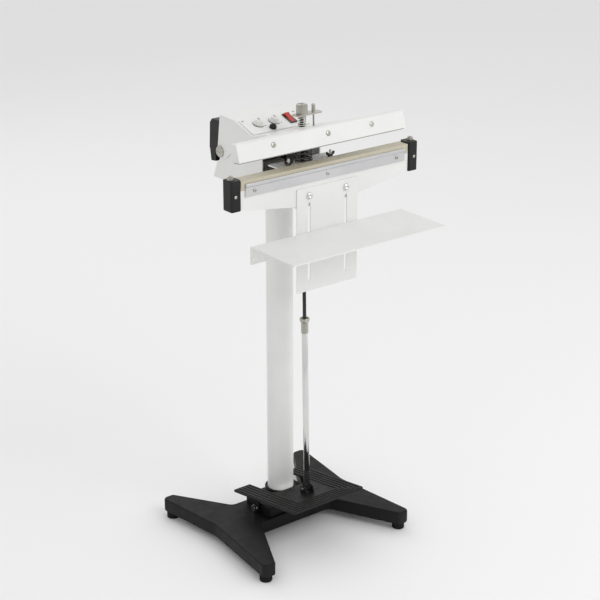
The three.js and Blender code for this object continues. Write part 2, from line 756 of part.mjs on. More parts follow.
function headFrame() {
  const half = FRAME_HALF_WIDTH;
  const wallTop = HEAD_FLOOR_Z + FRAME_WALL_TOP;
  const lowTop = HEAD_FLOOR_Z + FRAME_WALL_LOW_TOP;
  const rearTop = HEAD_FLOOR_Z + FRAME_REAR_HEIGHT;
  const side = [
    [flangeFront, HEAD_FLOOR_Z],
    [FRAME_REAR_BOTTOM_Y, HEAD_FLOOR_Z],
    [FRAME_REAR_TOP_Y, rearTop - 1, 1.5],
    [PIVOT_Y + FRAME_EAR_REAR[0], rearTop + 4, 2],
    [PIVOT_Y + FRAME_EAR_REAR[1], wallTop, 5],
    [FRAME_WALL_STEP_Y, wallTop, 3],
    [FRAME_WALL_STEP_Y, lowTop, 3],
    [flangeFront, lowTop],
  ];
  const lean = SHEET * 1.06;
  const rearWall = [
    [FRAME_REAR_BOTTOM_Y - lean, HEAD_FLOOR_Z],
    [FRAME_REAR_BOTTOM_Y, HEAD_FLOOR_Z],
    [FRAME_REAR_TOP_Y + 0.7, rearTop - 3],
    [FRAME_REAR_TOP_Y + 0.7 - lean, rearTop - 3],
  ];
  const body = join(
    prism(side, "x", -half, -half + SHEET, 0, 3),
    prism(side, "x", half - SHEET, half, 0, 3),
    block(-half, half, flangeFront, FRAME_REAR_BOTTOM_Y - 1, HEAD_FLOOR_Z, floorTop),
    block(-half, half, flangeFront, flangeFront + SHEET, HEAD_FLOOR_Z, lowTop),
    prism(rearWall, "x", -half, half),
  );
  const pivotHole = alongX(rod(PIVOT_RADIUS + SEAT, -half - 1, half + 1)).translate(0, PIVOT_Y, pivotZ);
  const glandHole = towardsFront(rod(GLAND_RADIUS + SEAT, -FRAME_REAR_BOTTOM_Y - 10, -90));
  glandHole.translate(0, 0, HEAD_FLOOR_Z + GLAND_RADIUS + 12);
  const columnHole = rod(COLUMN_RADIUS - COLUMN_WALL - 6, HEAD_FLOOR_Z - 1, floorTop + 1);
  return cut(
    body,
    pivotHole,
    glandHole,
    columnHole,
    rodSlot(HEAD_FLOOR_Z),
    ...bracketBoltHoles(),
  );
}

// Holes along Y for the two bolts that hold the bracket plate, the apron and the head together.
function bracketBoltHoles() {
  return SIDES.map(([, sign]) => {
    const hole = towardsFront(rod(BRACKET_BOLT_RADIUS + SEAT, 100, 200, 16));
    return hole.translate(sign * SLOT_X, 0, HEAD_FLOOR_Z + BRACKET_BOLT_HEIGHT);
  });
}

function jawSupport() {
  const half = FRAME_HALF_WIDTH - SHEET - SEAT;
  const bottom = floorTop + SEAT;
  const pieces = [
    block(-half, half, supportFront, supportFront + SHEET, bottom, shelfTop),
    block(-half, half, supportFront, SHELF_REAR_Y, shelfTop - SHEET, shelfTop),
  ];
  for (const [, sign] of SIDES) {
    const stud = rod(STUD_RADIUS, shelfTop - 1, shelfTop + 19, 12);
    pieces.push(stud.translate(sign * STUD_X, STUD_Y, 0));
  }
  return cut(join(...pieces), rodSlot(shelfTop), ...bracketBoltHoles());
}

piece(machine, "head_frame", headFrame(), WHITE_PAINT);
piece(machine, "jaw_support", jawSupport(), WHITE_PAINT);

const glandPlace = [0, FRAME_REAR_BOTTOM_Y - 6.5, HEAD_FLOOR_Z + GLAND_RADIUS + 12];
const cordGland = towardsFront(tube(GLAND_RADIUS, 3.6, -7, 7));
piece(machine, "cord_gland", cordGland, RUBBER).position.set(...glandPlace);

const armHalf = FRAME_HALF_WIDTH + ARM_SIDE_GAP + ARM_WALL;
const shaftSeat = armHalf + 0.5;
const pivotShaft = alongX(
  join(
    rod(PIVOT_RADIUS, -shaftSeat - 1, shaftSeat + 1),
    rod(PIVOT_HEAD_RADIUS, shaftSeat, shaftSeat + PIVOT_HEAD_THICKNESS),
    rod(PIVOT_HEAD_RADIUS, -shaftSeat - PIVOT_HEAD_THICKNESS, -shaftSeat),
  ),
);
piece(machine, "pivot_shaft", pivotShaft, ZINC).position.set(0, PIVOT_Y, pivotZ);

function transformer() {
  const [width, depth, height] = [78, 66, 52];
  const centreY = 48;
  const bottom = floorTop + SEAT;
  const core = block(-width / 2, width / 2, -depth / 2 + 12, depth / 2 - 12, 0, height);
  const feet = block(-width / 2 - 12, width / 2 + 12, -depth / 2 + 14, depth / 2 - 14, 0, 3);
  const winding = prism(rectangle(-26, 26, 8, height - 8, 5), "y", -depth / 2, depth / 2);
  return join(core, feet, winding).translate(0, centreY, bottom);
}

piece(machine, "transformer", transformer(), DARK_STEEL);

// ---------- lower jaw ----------

const jawFlangeBottom = shelfTop + SEAT;
const jawFlangeTop = jawFlangeBottom + SHEET;
const barBottom = jawFlangeTop + SEAT;
const barTop = barBottom + HEATER_BAR_HEIGHT;
const elementBottom = barTop + SEAT;
const elementTop = elementBottom + ELEMENT_THICKNESS;
const coverBottom = elementTop + SEAT;
const coverTop = coverBottom + COVER_THICKNESS;
const jawRear = JAW_FRONT_Y + JAW_DEPTH;
const coverFront = JAW_FRONT_Y - SEAT - COVER_THICKNESS;
const clampRear = coverFront - SEAT;
const clampFront = clampRear - CLAMP_THICKNESS;
const clampBottom = jawFlangeTop - 20;
const clampScrewZ = clampBottom + 10;
const clampHalf = JAW_HALF_LENGTH - CLAMP_END_GAP;
const clampScrewX = [-1, 0, 1].map((sign) => sign * (clampHalf - CLAMP_SCREW_INSET));

function lowerJawBeam() {
  const half = JAW_HALF_LENGTH;
  const apron = [
    [-half, jawFlangeTop - APRON_END_DROP, 2],
    [-APRON_MID_X, jawFlangeTop - APRON_MID_DROP],
    [APRON_MID_X, jawFlangeTop - APRON_MID_DROP],
    [half, jawFlangeTop - APRON_END_DROP, 2],
    [half, jawFlangeTop],
    [-half, jawFlangeTop],
  ];
  const endBottom = jawFlangeTop - APRON_END_DROP + 2;
  const pieces = [
    prism(apron, "y", JAW_FRONT_Y, apronRear),
    block(-half, half, JAW_FRONT_Y, jawRear, jawFlangeBottom, jawFlangeTop),
    block(-half, -half + SHEET, JAW_FRONT_Y, jawRear, endBottom, jawFlangeTop),
    block(half - SHEET, half, JAW_FRONT_Y, jawRear, endBottom, jawFlangeTop),
  ];
  const holes = [...bracketBoltHoles()];
  for (const [, sign] of SIDES) {
    const x = sign * STUD_X;
    const rear = STUD_Y + 11;
    pieces.push(block(x - 13, x + 13, jawRear - 2, rear, jawFlangeBottom, jawFlangeTop));
    holes.push(rod(STUD_RADIUS + SEAT, shelfTop - 1, shelfTop + 9, 12).translate(x, STUD_Y, 0));
  }
  for (const x of clampScrewX) {
    holes.push(towardsFront(rod(2 + SEAT, 150, 170, 12)).translate(x, 0, clampScrewZ));
  }
  return cut(join(...pieces), ...holes);
}

function heatCover() {
  const front = coverFront;
  const rear = jawRear + SEAT + COVER_THICKNESS;
  const drop = coverTop - COVER_DROP;
  const rearDrop = barBottom + 1;
  const section = [
    [front, drop],
    [front + COVER_THICKNESS, drop],
    [front + COVER_THICKNESS, coverBottom],
    [rear - COVER_THICKNESS, coverBottom],
    [rear - COVER_THICKNESS, rearDrop],
    [rear, rearDrop],
    [rear, coverTop, 0.5],
    [front, coverTop, 0.5],
  ];
  return prism(section, "x", -JAW_HALF_LENGTH + 1, JAW_HALF_LENGTH - 1, 0, 2);
}

function clampStrip() {
  const lipBottom = clampBottom + 18;
  const top = clampBottom + CLAMP_HEIGHT;
  const section = [
    [clampFront, clampBottom],
    [clampRear, clampBottom],
    [clampRear, top, 0.8],
    [clampFront - 1.6, top, 1.6],
    [clampFront - 2.2, lipBottom + 2, 1.2],
    [clampFront, lipBottom],
  ];
  const strip = prism(section, "x", -clampHalf, clampHalf, 0, 3);
  const holes = clampScrewX.map((x) =>
    towardsFront(rod(2 + SEAT, 150, 190, 12)).translate(x, 0, clampScrewZ),
  );
  return cut(strip, ...holes);
}

// A pan-head screw along Z; its head sits on z = 0 and its shank goes down from there.
function panScrew(shank, head, thickness, length) {
  return turned(
    [
      [0, -length],
      [shank, -length],
      [shank, 0],
      [head, 0],
      [head, thickness * 0.45],
      [head * 0.75, thickness * 0.85],
      [head * 0.4, thickness],
      [0, thickness],
    ],
    12,
  );
}

const clampScrewNames = ["left", "middle", "right"];
piece(machine, "lower_jaw_beam", lowerJawBeam(), WHITE_PAINT);
const barHalf = JAW_HALF_LENGTH - 2.5;
const heaterBar = block(-barHalf, barHalf, JAW_FRONT_Y + SEAT, jawRear, barBottom, barTop);
piece(machine, "heater_bar", heaterBar, BAKELITE);
const elementMid = JAW_FRONT_Y + JAW_DEPTH / 2;
const element = block(
  -JAW_HALF_LENGTH,
  JAW_HALF_LENGTH,
  elementMid - ELEMENT_WIDTH / 2,
  elementMid + ELEMENT_WIDTH / 2,
  elementBottom,
  elementTop,
);
piece(machine, "heating_element", element, NICHROME);
piece(machine, "heat_cover", heatCover(), TAN_CLOTH);
piece(machine, "clamp_strip", clampStrip(), ALUMINIUM);
clampScrewNames.forEach((name, i) => {
  const screw = towardsFront(panScrew(2, 4, 2.4, 7));
  const mesh = piece(machine, `clamp_screw_${name}`, screw, ZINC);
  mesh.position.set(clampScrewX[i], clampFront - SEAT, clampScrewZ);
});

const blockInner = JAW_HALF_LENGTH + FIT;
const blockOuter = blockInner + BLOCK_WIDTH;
const blockTop = coverTop + BLOCK_RISE;
const blockFront = JAW_FRONT_Y - 4;
const blockRear = blockFront + BLOCK_DEPTH;

function endBlock(sign) {
  const x0 = Math.min(sign * blockInner, sign * blockOuter);
  const outline = rectangle(x0, x0 + BLOCK_WIDTH, blockFront, blockRear, 4);
  const body = prism(outline, "z", blockTop - BLOCK_HEIGHT, blockTop, 1.5, 3);
  const tabInner = sign * (blockInner - 1.6);
  const tabOuter = sign * (blockInner + 7);
  const tab = block(
    Math.min(tabInner, tabOuter),
    Math.max(tabInner, tabOuter),
    blockFront + 7,
    blockRear - 7,
    coverTop + SEAT,
    coverTop + 3,
  );
  return join(body, tab);
}

const terminalScrew = turned([
  [0, 0],
  [TERMINAL_RADIUS - 1, 0],
  [TERMINAL_RADIUS, 1],
  [TERMINAL_RADIUS, TERMINAL_HEIGHT - 2],
  [TERMINAL_RADIUS - 2, TERMINAL_HEIGHT],
  [0, TERMINAL_HEIGHT],
]);
const terminalX = blockOuter - TERMINAL_RADIUS - 2;
for (const [side, sign] of SIDES) {
  piece(machine, `end_block_${side}`, endBlock(sign), BLACK_PLASTIC);
  const screw = piece(machine, `terminal_screw_${side}`, terminalScrew, ZINC);
  screw.position.set(sign * terminalX, (blockFront + blockRear) / 2, blockTop + SEAT);
}

function wingNut() {
  const wing = [
    [3, 2],
    [WING_SPAN - 2, 7, 2],
    [WING_SPAN, 13, 2.5],
    [WING_SPAN - 5, 13, 2.5],
    [3, 7],
  ];
  const solid = join(
    turned([
      [0, 0],
      [6, 0],
      [4.8, 8],
      [0, 8],
    ]),
    prism(wing, "y", -1.2, 1.2, 0, 3),
    prism(mirrored(wing), "y", -1.2, 1.2, 0, 3),
  );
  return cut(solid, rod(STUD_RADIUS + SEAT, -1, 9, 12));
}

for (const [side, sign] of SIDES) {
  const nut = piece(machine, `wing_nut_${side}`, wingNut(), DARK_STEEL);
  nut.position.set(sign * STUD_X, STUD_Y, jawFlangeTop + SEAT);
}

// ---------- bracket plate and work table ----------

const bracketRear = JAW_FRONT_Y - SEAT;
const bracketFront = bracketRear - SHEET;
const bracketTop = HEAD_FLOOR_Z + BRACKET_TOP_Z;
const slotTop = HEAD_FLOOR_Z + SLOT_TOP;
const slotBottom = slotTop - SLOT_LENGTH;

function bracketPlate() {
  const half = BRACKET_HALF_WIDTH;
  const plate = prism(
    rectangle(-half, half, bracketTop - BRACKET_LENGTH, bracketTop, 2),
    "y",
    bracketFront,
    bracketRear,
  );
  const slots = SIDES.map(([, sign]) => {
    const x = sign * SLOT_X;
    const outline = rectangle(
      x - SLOT_HALF_WIDTH,
      x + SLOT_HALF_WIDTH,
      slotBottom,
      slotTop,
      SLOT_HALF_WIDTH - 0.05,
    );
    return prism(outline, "y", bracketFront - 1, bracketRear + 1);
  });
  return cut(plate, ...slots, ...bracketBoltHoles());
}

piece(machine, "bracket_plate", bracketPlate(), WHITE_PAINT);
const boltReach = supportFront + SHEET + 6 - bracketFront;
for (const [side, sign] of SIDES) {
  const bolt = join(
    panScrew(BRACKET_BOLT_RADIUS, BRACKET_BOLT_HEAD, 4.5, boltReach),
    hexagon(7, -boltReach + 0.5, -boltReach + 6 - SEAT),
  );
  const mesh = piece(machine, `bracket_bolt_${side}`, towardsFront(bolt), CHROME);
  mesh.position.set(sign * SLOT_X, bracketFront - SEAT, HEAD_FLOOR_Z + BRACKET_BOLT_HEIGHT);
}

const tableTop = HEAD_FLOOR_Z - TABLE_DROP;
const tableRear = bracketFront - SEAT;
const tableFront = tableRear - TABLE_DEPTH;
const tableScrewZ = tableTop - TABLE_FLANGE / 2;

function workTable() {
  const half = TABLE_HALF_WIDTH;
  const section = [
    [tableRear - SHEET, tableTop - TABLE_FLANGE],
    [tableRear, tableTop - TABLE_FLANGE],
    [tableRear, tableTop, 3],
    [tableFront, tableTop],
    [tableFront, tableTop - SHEET],
    [tableRear - SHEET, tableTop - SHEET],
  ];
  const holes = SIDES.map(([, sign]) =>
    towardsFront(rod(TABLE_SCREW_RADIUS + SEAT, 100, 200, 16)).translate(
      sign * SLOT_X,
      0,
      tableScrewZ,
    ),
  );
  const notches = SIDES.map(([, sign]) =>
    towardsFront(rod(2.5, 100, 200, 12)).translate(
      sign * (half - 8),
      0,
      tableTop - TABLE_FLANGE + 9,
    ),
  );
  return cut(prism(section, "x", -half, half), ...holes, ...notches);
}

piece(machine, "work_table", workTable(), WHITE_PAINT);
const tableScrewReach = 2 * SHEET + 2 * SEAT + 5;
for (const [side, sign] of SIDES) {
  const screw = join(
    panScrew(TABLE_SCREW_RADIUS, 6, 3.2, tableScrewReach),
    hexagon(6, -tableScrewReach + 0.5, -tableScrewReach + 5 - SEAT),
  );
  const mesh = piece(machine, `table_screw_${side}`, towardsFront(screw), ZINC);
  mesh.position.set(sign * SLOT_X, tableRear - SHEET - SEAT, tableScrewZ);
}

// ---------- upper arm ----------

machine.add(arm);
const armInner = armHalf - ARM_WALL;
const panelSlope = Math.atan2(PANEL_TOP[1] - PANEL_FOOT[1], PANEL_TOP[0] - PANEL_FOOT[0]);

const jawBarHalf = JAW_HALF_LENGTH - JAW_BAR_END_GAP;
const outerScrewX = jawBarHalf - JAW_SCREW_INSET;
const jawScrewX = [-outerScrewX, JAW_SCREW_MIDDLE, outerScrewX];
const gussetHalf = outerScrewX + GUSSET_REACH;

// The arm's side outline, anticlockwise in (Y, Z), with its floor well below the skirt.
const armSide = [
  [...ARM_REAR_BOTTOM, 0],
  [...ARM_REAR_TOP, ARM_REAR_ROUND],
  [...PANEL_TOP, 6],
  [...PANEL_FOOT, 0],
  [...ARM_FRONT, 0],
  [ARM_FRONT[0], ARM_REAR_BOTTOM[1], 0],
];

// Where the box's leaning back wall lies at a height.
function armRearAt(height) {
  const rise = ARM_REAR_TOP[1] - ARM_REAR_BOTTOM[1];
  const run = ARM_REAR_TOP[0] - ARM_REAR_BOTTOM[0];
  return ARM_REAR_BOTTOM[0] + ((height - ARM_REAR_BOTTOM[1]) * run) / rise;
}

// The arm's plan where it widens to carry the jaw bar.
function gussetPlan() {
  const right = [
    [gussetHalf, ARM_FRONT[0]],
    [gussetHalf, ARM_FRONT[0] + 10, 4],
    [armHalf + 14, ARM_FRONT[0] + 32, 45],
    [armHalf - 1, GUSSET_REAR],
  ];
  return [...right, ...mirrored(right)];
}

// Something made in the panel's level frame, moved to its place on the arm.
function onPanel(geometry) {
  return geometry.rotateX(panelSlope).translate(0, ...PANEL_FOOT);
}

function upperArm() {
  const topLimit = 100;
  const widest = gussetHalf + 2;
  const skirtFront = SKIRT_FRONT[1];
  const plan = gussetPlan();
  const innerSide = inset(armSide, ARM_WALL);
  const outer = join(
    prism(armSide, "x", -armHalf, armHalf, ARM_SHOULDER),
    common(prism(plan, "z", skirtFront, topLimit), prism(armSide, "x", -widest, widest)),
    rod(ROD_BOSS_RADIUS, ROD_BOSS_TOP - 6, ROD_BOSS_TOP).translate(0, ROD_HOLE_Y, 0),
  );
  const hollow = join(
    prism(innerSide, "x", -armInner, armInner, ARM_SHOULDER - ARM_WALL),
    common(
      prism(inset(plan, ARM_WALL), "z", skirtFront - 1, topLimit),
      prism(innerSide, "x", -widest, widest),
    ),
  );
  const belowSkirt = [
    [60, -60],
    [60, SKIRT_REAR + 8],
    [ARM_REAR_BOTTOM[0] - 3, SKIRT_REAR + 8, 8],
    [2, SKIRT_REAR, 8],
    [SKIRT_KNEE[0] + 34, SKIRT_REAR, 6],
    [...SKIRT_KNEE, 10],
    [...SKIRT_FRONT, 20],
    [ARM_FRONT[0] - 10, skirtFront],
    [ARM_FRONT[0] - 10, -60],
  ];
  const window = onPanel(block(-64, 64, 3, PANEL_LENGTH - 4, -10, 8));
  return cut(
    outer,
    hollow,
    prism(belowSkirt.reverse(), "x", -widest, widest),
    alongX(rod(PIVOT_RADIUS + FIT, -widest, widest)),
    rod(ROD_HOLE_RADIUS, 30, topLimit).translate(0, ROD_HOLE_Y, 0),
    rod(STRIKER_SCREW_RADIUS + 2, 30, topLimit, 12).translate(STRIKER_SCREW_X, ROD_HOLE_Y, 0),
    window,
    ...jawScrewX.map((x) => jawScrewHole(x, JAW_SCREW_RADIUS + FIT)),
  );
}

// ---------- upper jaw ----------

const jawBarBottom = SKIRT_FRONT[1];
const jawBarRear = ARM_FRONT[0] - FIT;
const jawBarFront = jawBarRear - JAW_BAR_DEPTH;
const jawFaceSlope = Math.atan2(JAW_BAR_LEAN, JAW_BAR_HEIGHT);

// The middle of a jaw screw's seat on the leaning face.
function jawScrewSeat(x) {
  const faceY = jawBarFront + JAW_SCREW_HEIGHT * Math.tan(jawFaceSlope);
  return new THREE.Vector3(x, faceY, jawBarBottom + JAW_SCREW_HEIGHT);
}

// Something made along Z, turned to stand square on the leaning face at a jaw screw's place.
function jawScrewHole(x, radius) {
  const hole = rod(radius, -45, 10, 16).rotateX(Math.PI / 2 - jawFaceSlope);
  const seat = jawScrewSeat(x);
  return hole.translate(seat.x, seat.y, seat.z);
}

function jawBar() {
  const top = jawBarBottom + JAW_BAR_HEIGHT;
  const section = [
    [jawBarFront, jawBarBottom],
    [jawBarRear, jawBarBottom],
    [jawBarRear, top, 2.5],
    [jawBarFront + JAW_BAR_LEAN, top, 5],
  ];
  const [frontLow, rearLow, rearTop, frontTop] = inset(section, JAW_BAR_WALL);
  const below = jawBarBottom - 2;
  const frontBelow = frontLow[0] - 4 * Math.tan(jawFaceSlope);
  const inside = [[frontBelow, below], [rearLow[0], below], rearTop, frontTop];
  const insideHalf = jawBarHalf - JAW_BAR_WALL;
  return cut(
    prism(section, "x", -jawBarHalf, jawBarHalf),
    prism(inside, "x", -insideHalf, insideHalf),
    ...jawScrewX.map((x) => jawScrewHole(x, JAW_SCREW_RADIUS + FIT)),
  );
}

piece(arm, "upper_arm", upperArm(), WHITE_PAINT);
piece(arm, "jaw_bar", jawBar(), WHITE_PAINT);

const closedCoverTop = coverTop - pivotZ; // sealing surface in the arm's frame
const rubberBottom = closedCoverTop + 0.4;
const rubberFront = jawBarFront + JAW_BAR_WALL + 1.8;
const rubberRear = jawBarRear - JAW_BAR_WALL - FIT;
const rubberHalf = jawBarHalf - JAW_BAR_WALL - FIT;
const rubber = block(
  -rubberHalf,
  rubberHalf,
  rubberFront,
  rubberRear,
  rubberBottom,
  rubberBottom + RUBBER_HEIGHT,
);
piece(arm, "pressure_rubber", rubber, SILICONE);
jawScrewX.forEach((x, i) => {
  const screw = panScrew(JAW_SCREW_RADIUS, JAW_SCREW_HEAD, 1.8, 27);
  const mesh = piece(arm, `jaw_screw_${clampScrewNames[i]}`, screw, ZINC);
  const outward = new THREE.Vector3(0, -Math.cos(jawFaceSlope), Math.sin(jawFaceSlope));
  mesh.position.copy(jawScrewSeat(x)).addScaledVector(outward, FIT);
  mesh.rotation.x = Math.PI / 2 - jawFaceSlope;
});

// ---------- rear cover ----------

function rearCover() {
  const front = (height) => armRearAt(height) + FIT;
  const outline = [
    [front(-6), -6],
    [24, -7],
    [24, -24, 1.5],
    [42, -24, 2],
    [43, 2],
    [44.5, 4],
    [35, 59, 2],
    [27, 67, 2],
    [front(64), 64],
  ];
  const inside = inset(outline, REAR_COVER_WALL);
  const innerHalf = REAR_COVER_HALF_WIDTH - REAR_COVER_WALL;
  const opening = [
    [front(0) - 3, 2],
    [front(0) + 8, 2],
    [front(55) + 8, 55],
    [front(55) - 3, 55],
  ];
  return cut(
    prism(outline, "x", -REAR_COVER_HALF_WIDTH, REAR_COVER_HALF_WIDTH, 0, 2),
    prism(inside, "x", -innerHalf, innerHalf, 0, 2),
    prism(opening, "x", -innerHalf, innerHalf),
  );
}

piece(arm, "rear_cover", rearCover(), BLACK_PLASTIC);

// ---------- microswitch ----------

const [switchWidth, switchDepth, switchHeight] = SWITCH_SIZE;
const switchBody = join(
  block(
    STRIKER_SCREW_X - switchWidth / 2,
    STRIKER_SCREW_X + switchWidth / 2,
    ROD_HOLE_Y - switchDepth / 2,
    ROD_HOLE_Y + switchDepth / 2,
    SWITCH_TOP - switchHeight,
    SWITCH_TOP,
  ),
  block(
    STRIKER_SCREW_X + 5,
    STRIKER_SCREW_X + switchWidth / 2,
    ROD_HOLE_Y - switchDepth / 2,
    ROD_HOLE_Y + switchDepth / 2,
    SWITCH_TOP - 1,
    SWITCH_TOP + 3.6,
  ),
);
const plungerBottom = SWITCH_TOP - PLUNGER_SEAT;
const plungerBore = rod(
  PLUNGER_RADIUS + FIT,
  plungerBottom - PLUNGER_TRAVEL - FIT,
  SWITCH_TOP + 1,
  12,
).translate(STRIKER_SCREW_X, ROD_HOLE_Y, 0);
piece(arm, "micro_switch", cut(switchBody, plungerBore), BLACK_PLASTIC);
const plunger = rod(PLUNGER_RADIUS, 0, PLUNGER_SEAT + PLUNGER_HEIGHT, 12);
const plungerMesh = piece(arm, "switch_plunger", plunger, RED_PLASTIC);
plungerMesh.position.set(STRIKER_SCREW_X, ROD_HOLE_Y, plungerBottom);

// ---------- control panel ----------

const panel = new THREE.Group();
panel.position.set(0, ...PANEL_FOOT);
panel.rotation.x = panelSlope;
arm.add(panel);

const plateTop = FIT + PANEL_THICKNESS;
const rockerInnerX = ROCKER_WIDTH / 2 - ROCKER_BEZEL;
const rockerInnerY = ROCKER_LENGTH / 2 - ROCKER_BEZEL;

function controlPanel() {
  const plate = prism(
    rectangle(-PANEL_HALF_WIDTH, PANEL_HALF_WIDTH, 1.5, PANEL_LENGTH, 3),
    "z",
    FIT,
    plateTop,
    0,
    3,
  );
  const bodyHole = block(
    ROCKER_X - rockerInnerX - 1.5,
    ROCKER_X + rockerInnerX + 1.5,
    ROCKER_Y - rockerInnerY - 1.5,
    ROCKER_Y + rockerInnerY + 1.5,
    -1,
    5,
  );
  const shaftHoles = DIAL_X.map((x) => rod(DIAL_SHAFT_RADIUS + 0.6, -1, 5, 16).translate(x, DIAL_Y, 0));
  const fuseHole = rod(FUSE_STEM_RADIUS + 0.5, -1, 5).translate(FUSE_X, FUSE_Y, 0);
  return cut(plate, bodyHole, fuseHole, ...shaftHoles);
}

function dialKnob() {
  const top = DIAL_HEIGHT;
  const skirt = turned(
    [
      [DIAL_SHAFT_RADIUS + FIT, 0],
      [DIAL_RADIUS, 0],
      [DIAL_RADIUS, 2],
      [DIAL_RADIUS - 1.5, top - 2],
      [DIAL_RADIUS - 2.5, top - 1],
      [0, top - 1],
      [0, top - 3.2],
      [DIAL_SHAFT_RADIUS + FIT, top - 3.2],
      [DIAL_SHAFT_RADIUS + FIT, 0],
    ],
    20,
  );
  const pointer = block(-1.2, 1.2, 0.5, DIAL_RADIUS - 3, top - 2.5, top);
  return join(skirt, pointer);
}

function rockerHousing() {
  const wall = 1.2;
  const bodyX = rockerInnerX + wall;
  const bodyY = rockerInnerY + wall;
  const bezelX = ROCKER_WIDTH / 2;
  const bezelY = ROCKER_LENGTH / 2;
  const bezel = rectangle(-bezelX, bezelX, -bezelY, bezelY, 1.5);
  const body = block(-bodyX, bodyX, -bodyY, bodyY, -12, plateTop + 1);
  return cut(
    join(prism(bezel, "z", plateTop + FIT, plateTop + 2.8, 0, 3), body),
    block(-rockerInnerX, rockerInnerX, -rockerInnerY, rockerInnerY, -7, 10),
  );
}

function rockerButton() {
  const reach = rockerInnerY - 1;
  const section = [
    [-reach, -2.5],
    [reach, -2.5],
    [reach, 4.2],
    [0, 2.6],
    [-reach, 4.2],
  ];
  const half = rockerInnerX - 0.4;
  return prism(section, "x", -half, half);
}

// The timer's board, with its two control shafts standing up through the panel.
function timerBoard() {
  const top = -15;
  const parts = [block(-60, 60, DIAL_Y - 17, DIAL_Y + 19, top - 1.6, top)];
  for (const x of DIAL_X) {
    parts.push(rod(8, top - 0.5, top + 11).translate(x, DIAL_Y, 0));
    parts.push(rod(DIAL_SHAFT_RADIUS, top + 10, plateTop + DIAL_HEIGHT - 3.6, 16).translate(x, DIAL_Y, 0));
  }
  parts.push(block(-14, 0, DIAL_Y + 2, DIAL_Y + 17, top - 0.5, top + 10).translate(DIAL_X[0], 0, 0));
  return join(...parts);
}

function fuseCap() {
  return turned([
    [0, -12],
    [FUSE_STEM_RADIUS, -12],
    [FUSE_STEM_RADIUS, plateTop + FIT],
    [FUSE_CAP_RADIUS, plateTop + FIT],
    [FUSE_CAP_RADIUS, plateTop + 5],
    [FUSE_CAP_RADIUS - 1, plateTop + 6],
    [0, plateTop + 6],
  ]);
}

piece(panel, "control_panel", controlPanel(), WHITE_PAINT);
piece(panel, "timer_board", timerBoard(), CIRCUIT_BOARD);
DIAL_X.forEach((x, i) => {
  const dial = piece(panel, `dial_${SIDES[i][0]}`, dialKnob(), WHITE_PLASTIC);
  dial.position.set(x, DIAL_Y, plateTop + FIT);
});
piece(panel, "fuse_cap", fuseCap(), BLACK_PLASTIC).position.set(FUSE_X, FUSE_Y, 0);
piece(panel, "rocker_housing", rockerHousing(), BLACK_PLASTIC).position.set(ROCKER_X, ROCKER_Y, 0);
const rocker = piece(panel, "rocker_button", rockerButton(), RED_PLASTIC);
rocker.position.set(ROCKER_X, ROCKER_Y, plateTop + 1.2);
rocker.rotation.x = THREE.MathUtils.degToRad(ROCKER_TILT);

// ---------- springs ----------

const returnSpring = coilSpring(
  RETURN_SPRING_RADIUS,
  RETURN_SPRING_WIRE,
  RETURN_SPRING_LENGTH,
  RETURN_SPRING_TURNS,
);
const springMesh = piece(machine, "return_spring", returnSpring, DARK_STEEL);
springMesh.position.set(0, RETURN_SPRING_Y, shelfTop + SEAT);

const bossTop = new THREE.Vector3(0, ROD_HOLE_Y, ROD_BOSS_TOP);
bossTop.applyEuler(arm.rotation).add(arm.position);
const bossLift = PRESSURE_SPRING_RADIUS * Math.tan(THREE.MathUtils.degToRad(ARM_OPENING));
const springFoot = bossTop.z - pinPlace.z + bossLift + 2 * FIT;
const pressureSpringLength = strikerBottom - FIT - springFoot;
const pressureSpring = coilSpring(
  PRESSURE_SPRING_RADIUS,
  PRESSURE_SPRING_WIRE,
  pressureSpringLength,
  PRESSURE_SPRING_TURNS,
);
piece(pullRod, "pressure_spring", pressureSpring, ZINC).position.z = springFoot;

// ---------- the part's own frame ----------

machine.position.y = -(tableFront + LEG_REAR_Y) / 2;
const sealer = new THREE.Group();
sealer.add(machine);

export default sealer;
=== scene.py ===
"""Looks of a foot-operated impulse heat sealer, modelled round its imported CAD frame.

Sizes are in metres, in the frame's own axes: +Z up, -Y towards the operator.
"""

import json
import logging
import math
from dataclasses import dataclass, field
from enum import Enum

import bpy
from mathutils import Matrix, Vector

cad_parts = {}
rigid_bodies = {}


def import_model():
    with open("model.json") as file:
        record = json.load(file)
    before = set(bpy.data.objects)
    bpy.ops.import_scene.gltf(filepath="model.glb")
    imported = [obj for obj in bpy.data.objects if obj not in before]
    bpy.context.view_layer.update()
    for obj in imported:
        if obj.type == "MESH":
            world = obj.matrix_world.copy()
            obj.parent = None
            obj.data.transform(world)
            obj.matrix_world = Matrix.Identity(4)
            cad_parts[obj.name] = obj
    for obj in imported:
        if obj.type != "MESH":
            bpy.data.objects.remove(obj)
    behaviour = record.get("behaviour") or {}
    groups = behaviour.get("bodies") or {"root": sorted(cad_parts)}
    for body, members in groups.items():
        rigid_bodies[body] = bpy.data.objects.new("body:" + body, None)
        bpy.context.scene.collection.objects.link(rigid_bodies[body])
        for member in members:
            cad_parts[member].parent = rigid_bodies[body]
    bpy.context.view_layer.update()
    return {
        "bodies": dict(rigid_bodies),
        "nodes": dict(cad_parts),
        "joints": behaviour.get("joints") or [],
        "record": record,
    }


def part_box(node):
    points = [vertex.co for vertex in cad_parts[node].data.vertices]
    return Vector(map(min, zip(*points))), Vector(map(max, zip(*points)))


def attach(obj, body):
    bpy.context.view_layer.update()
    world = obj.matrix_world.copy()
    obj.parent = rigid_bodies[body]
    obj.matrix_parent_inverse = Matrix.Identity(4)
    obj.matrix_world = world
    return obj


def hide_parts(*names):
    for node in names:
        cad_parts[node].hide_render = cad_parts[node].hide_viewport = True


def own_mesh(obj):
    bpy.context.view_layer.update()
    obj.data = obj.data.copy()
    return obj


LOG = logging.getLogger("heat_sealer")
MM = 0.001
LEVEL = Matrix.Identity(4)
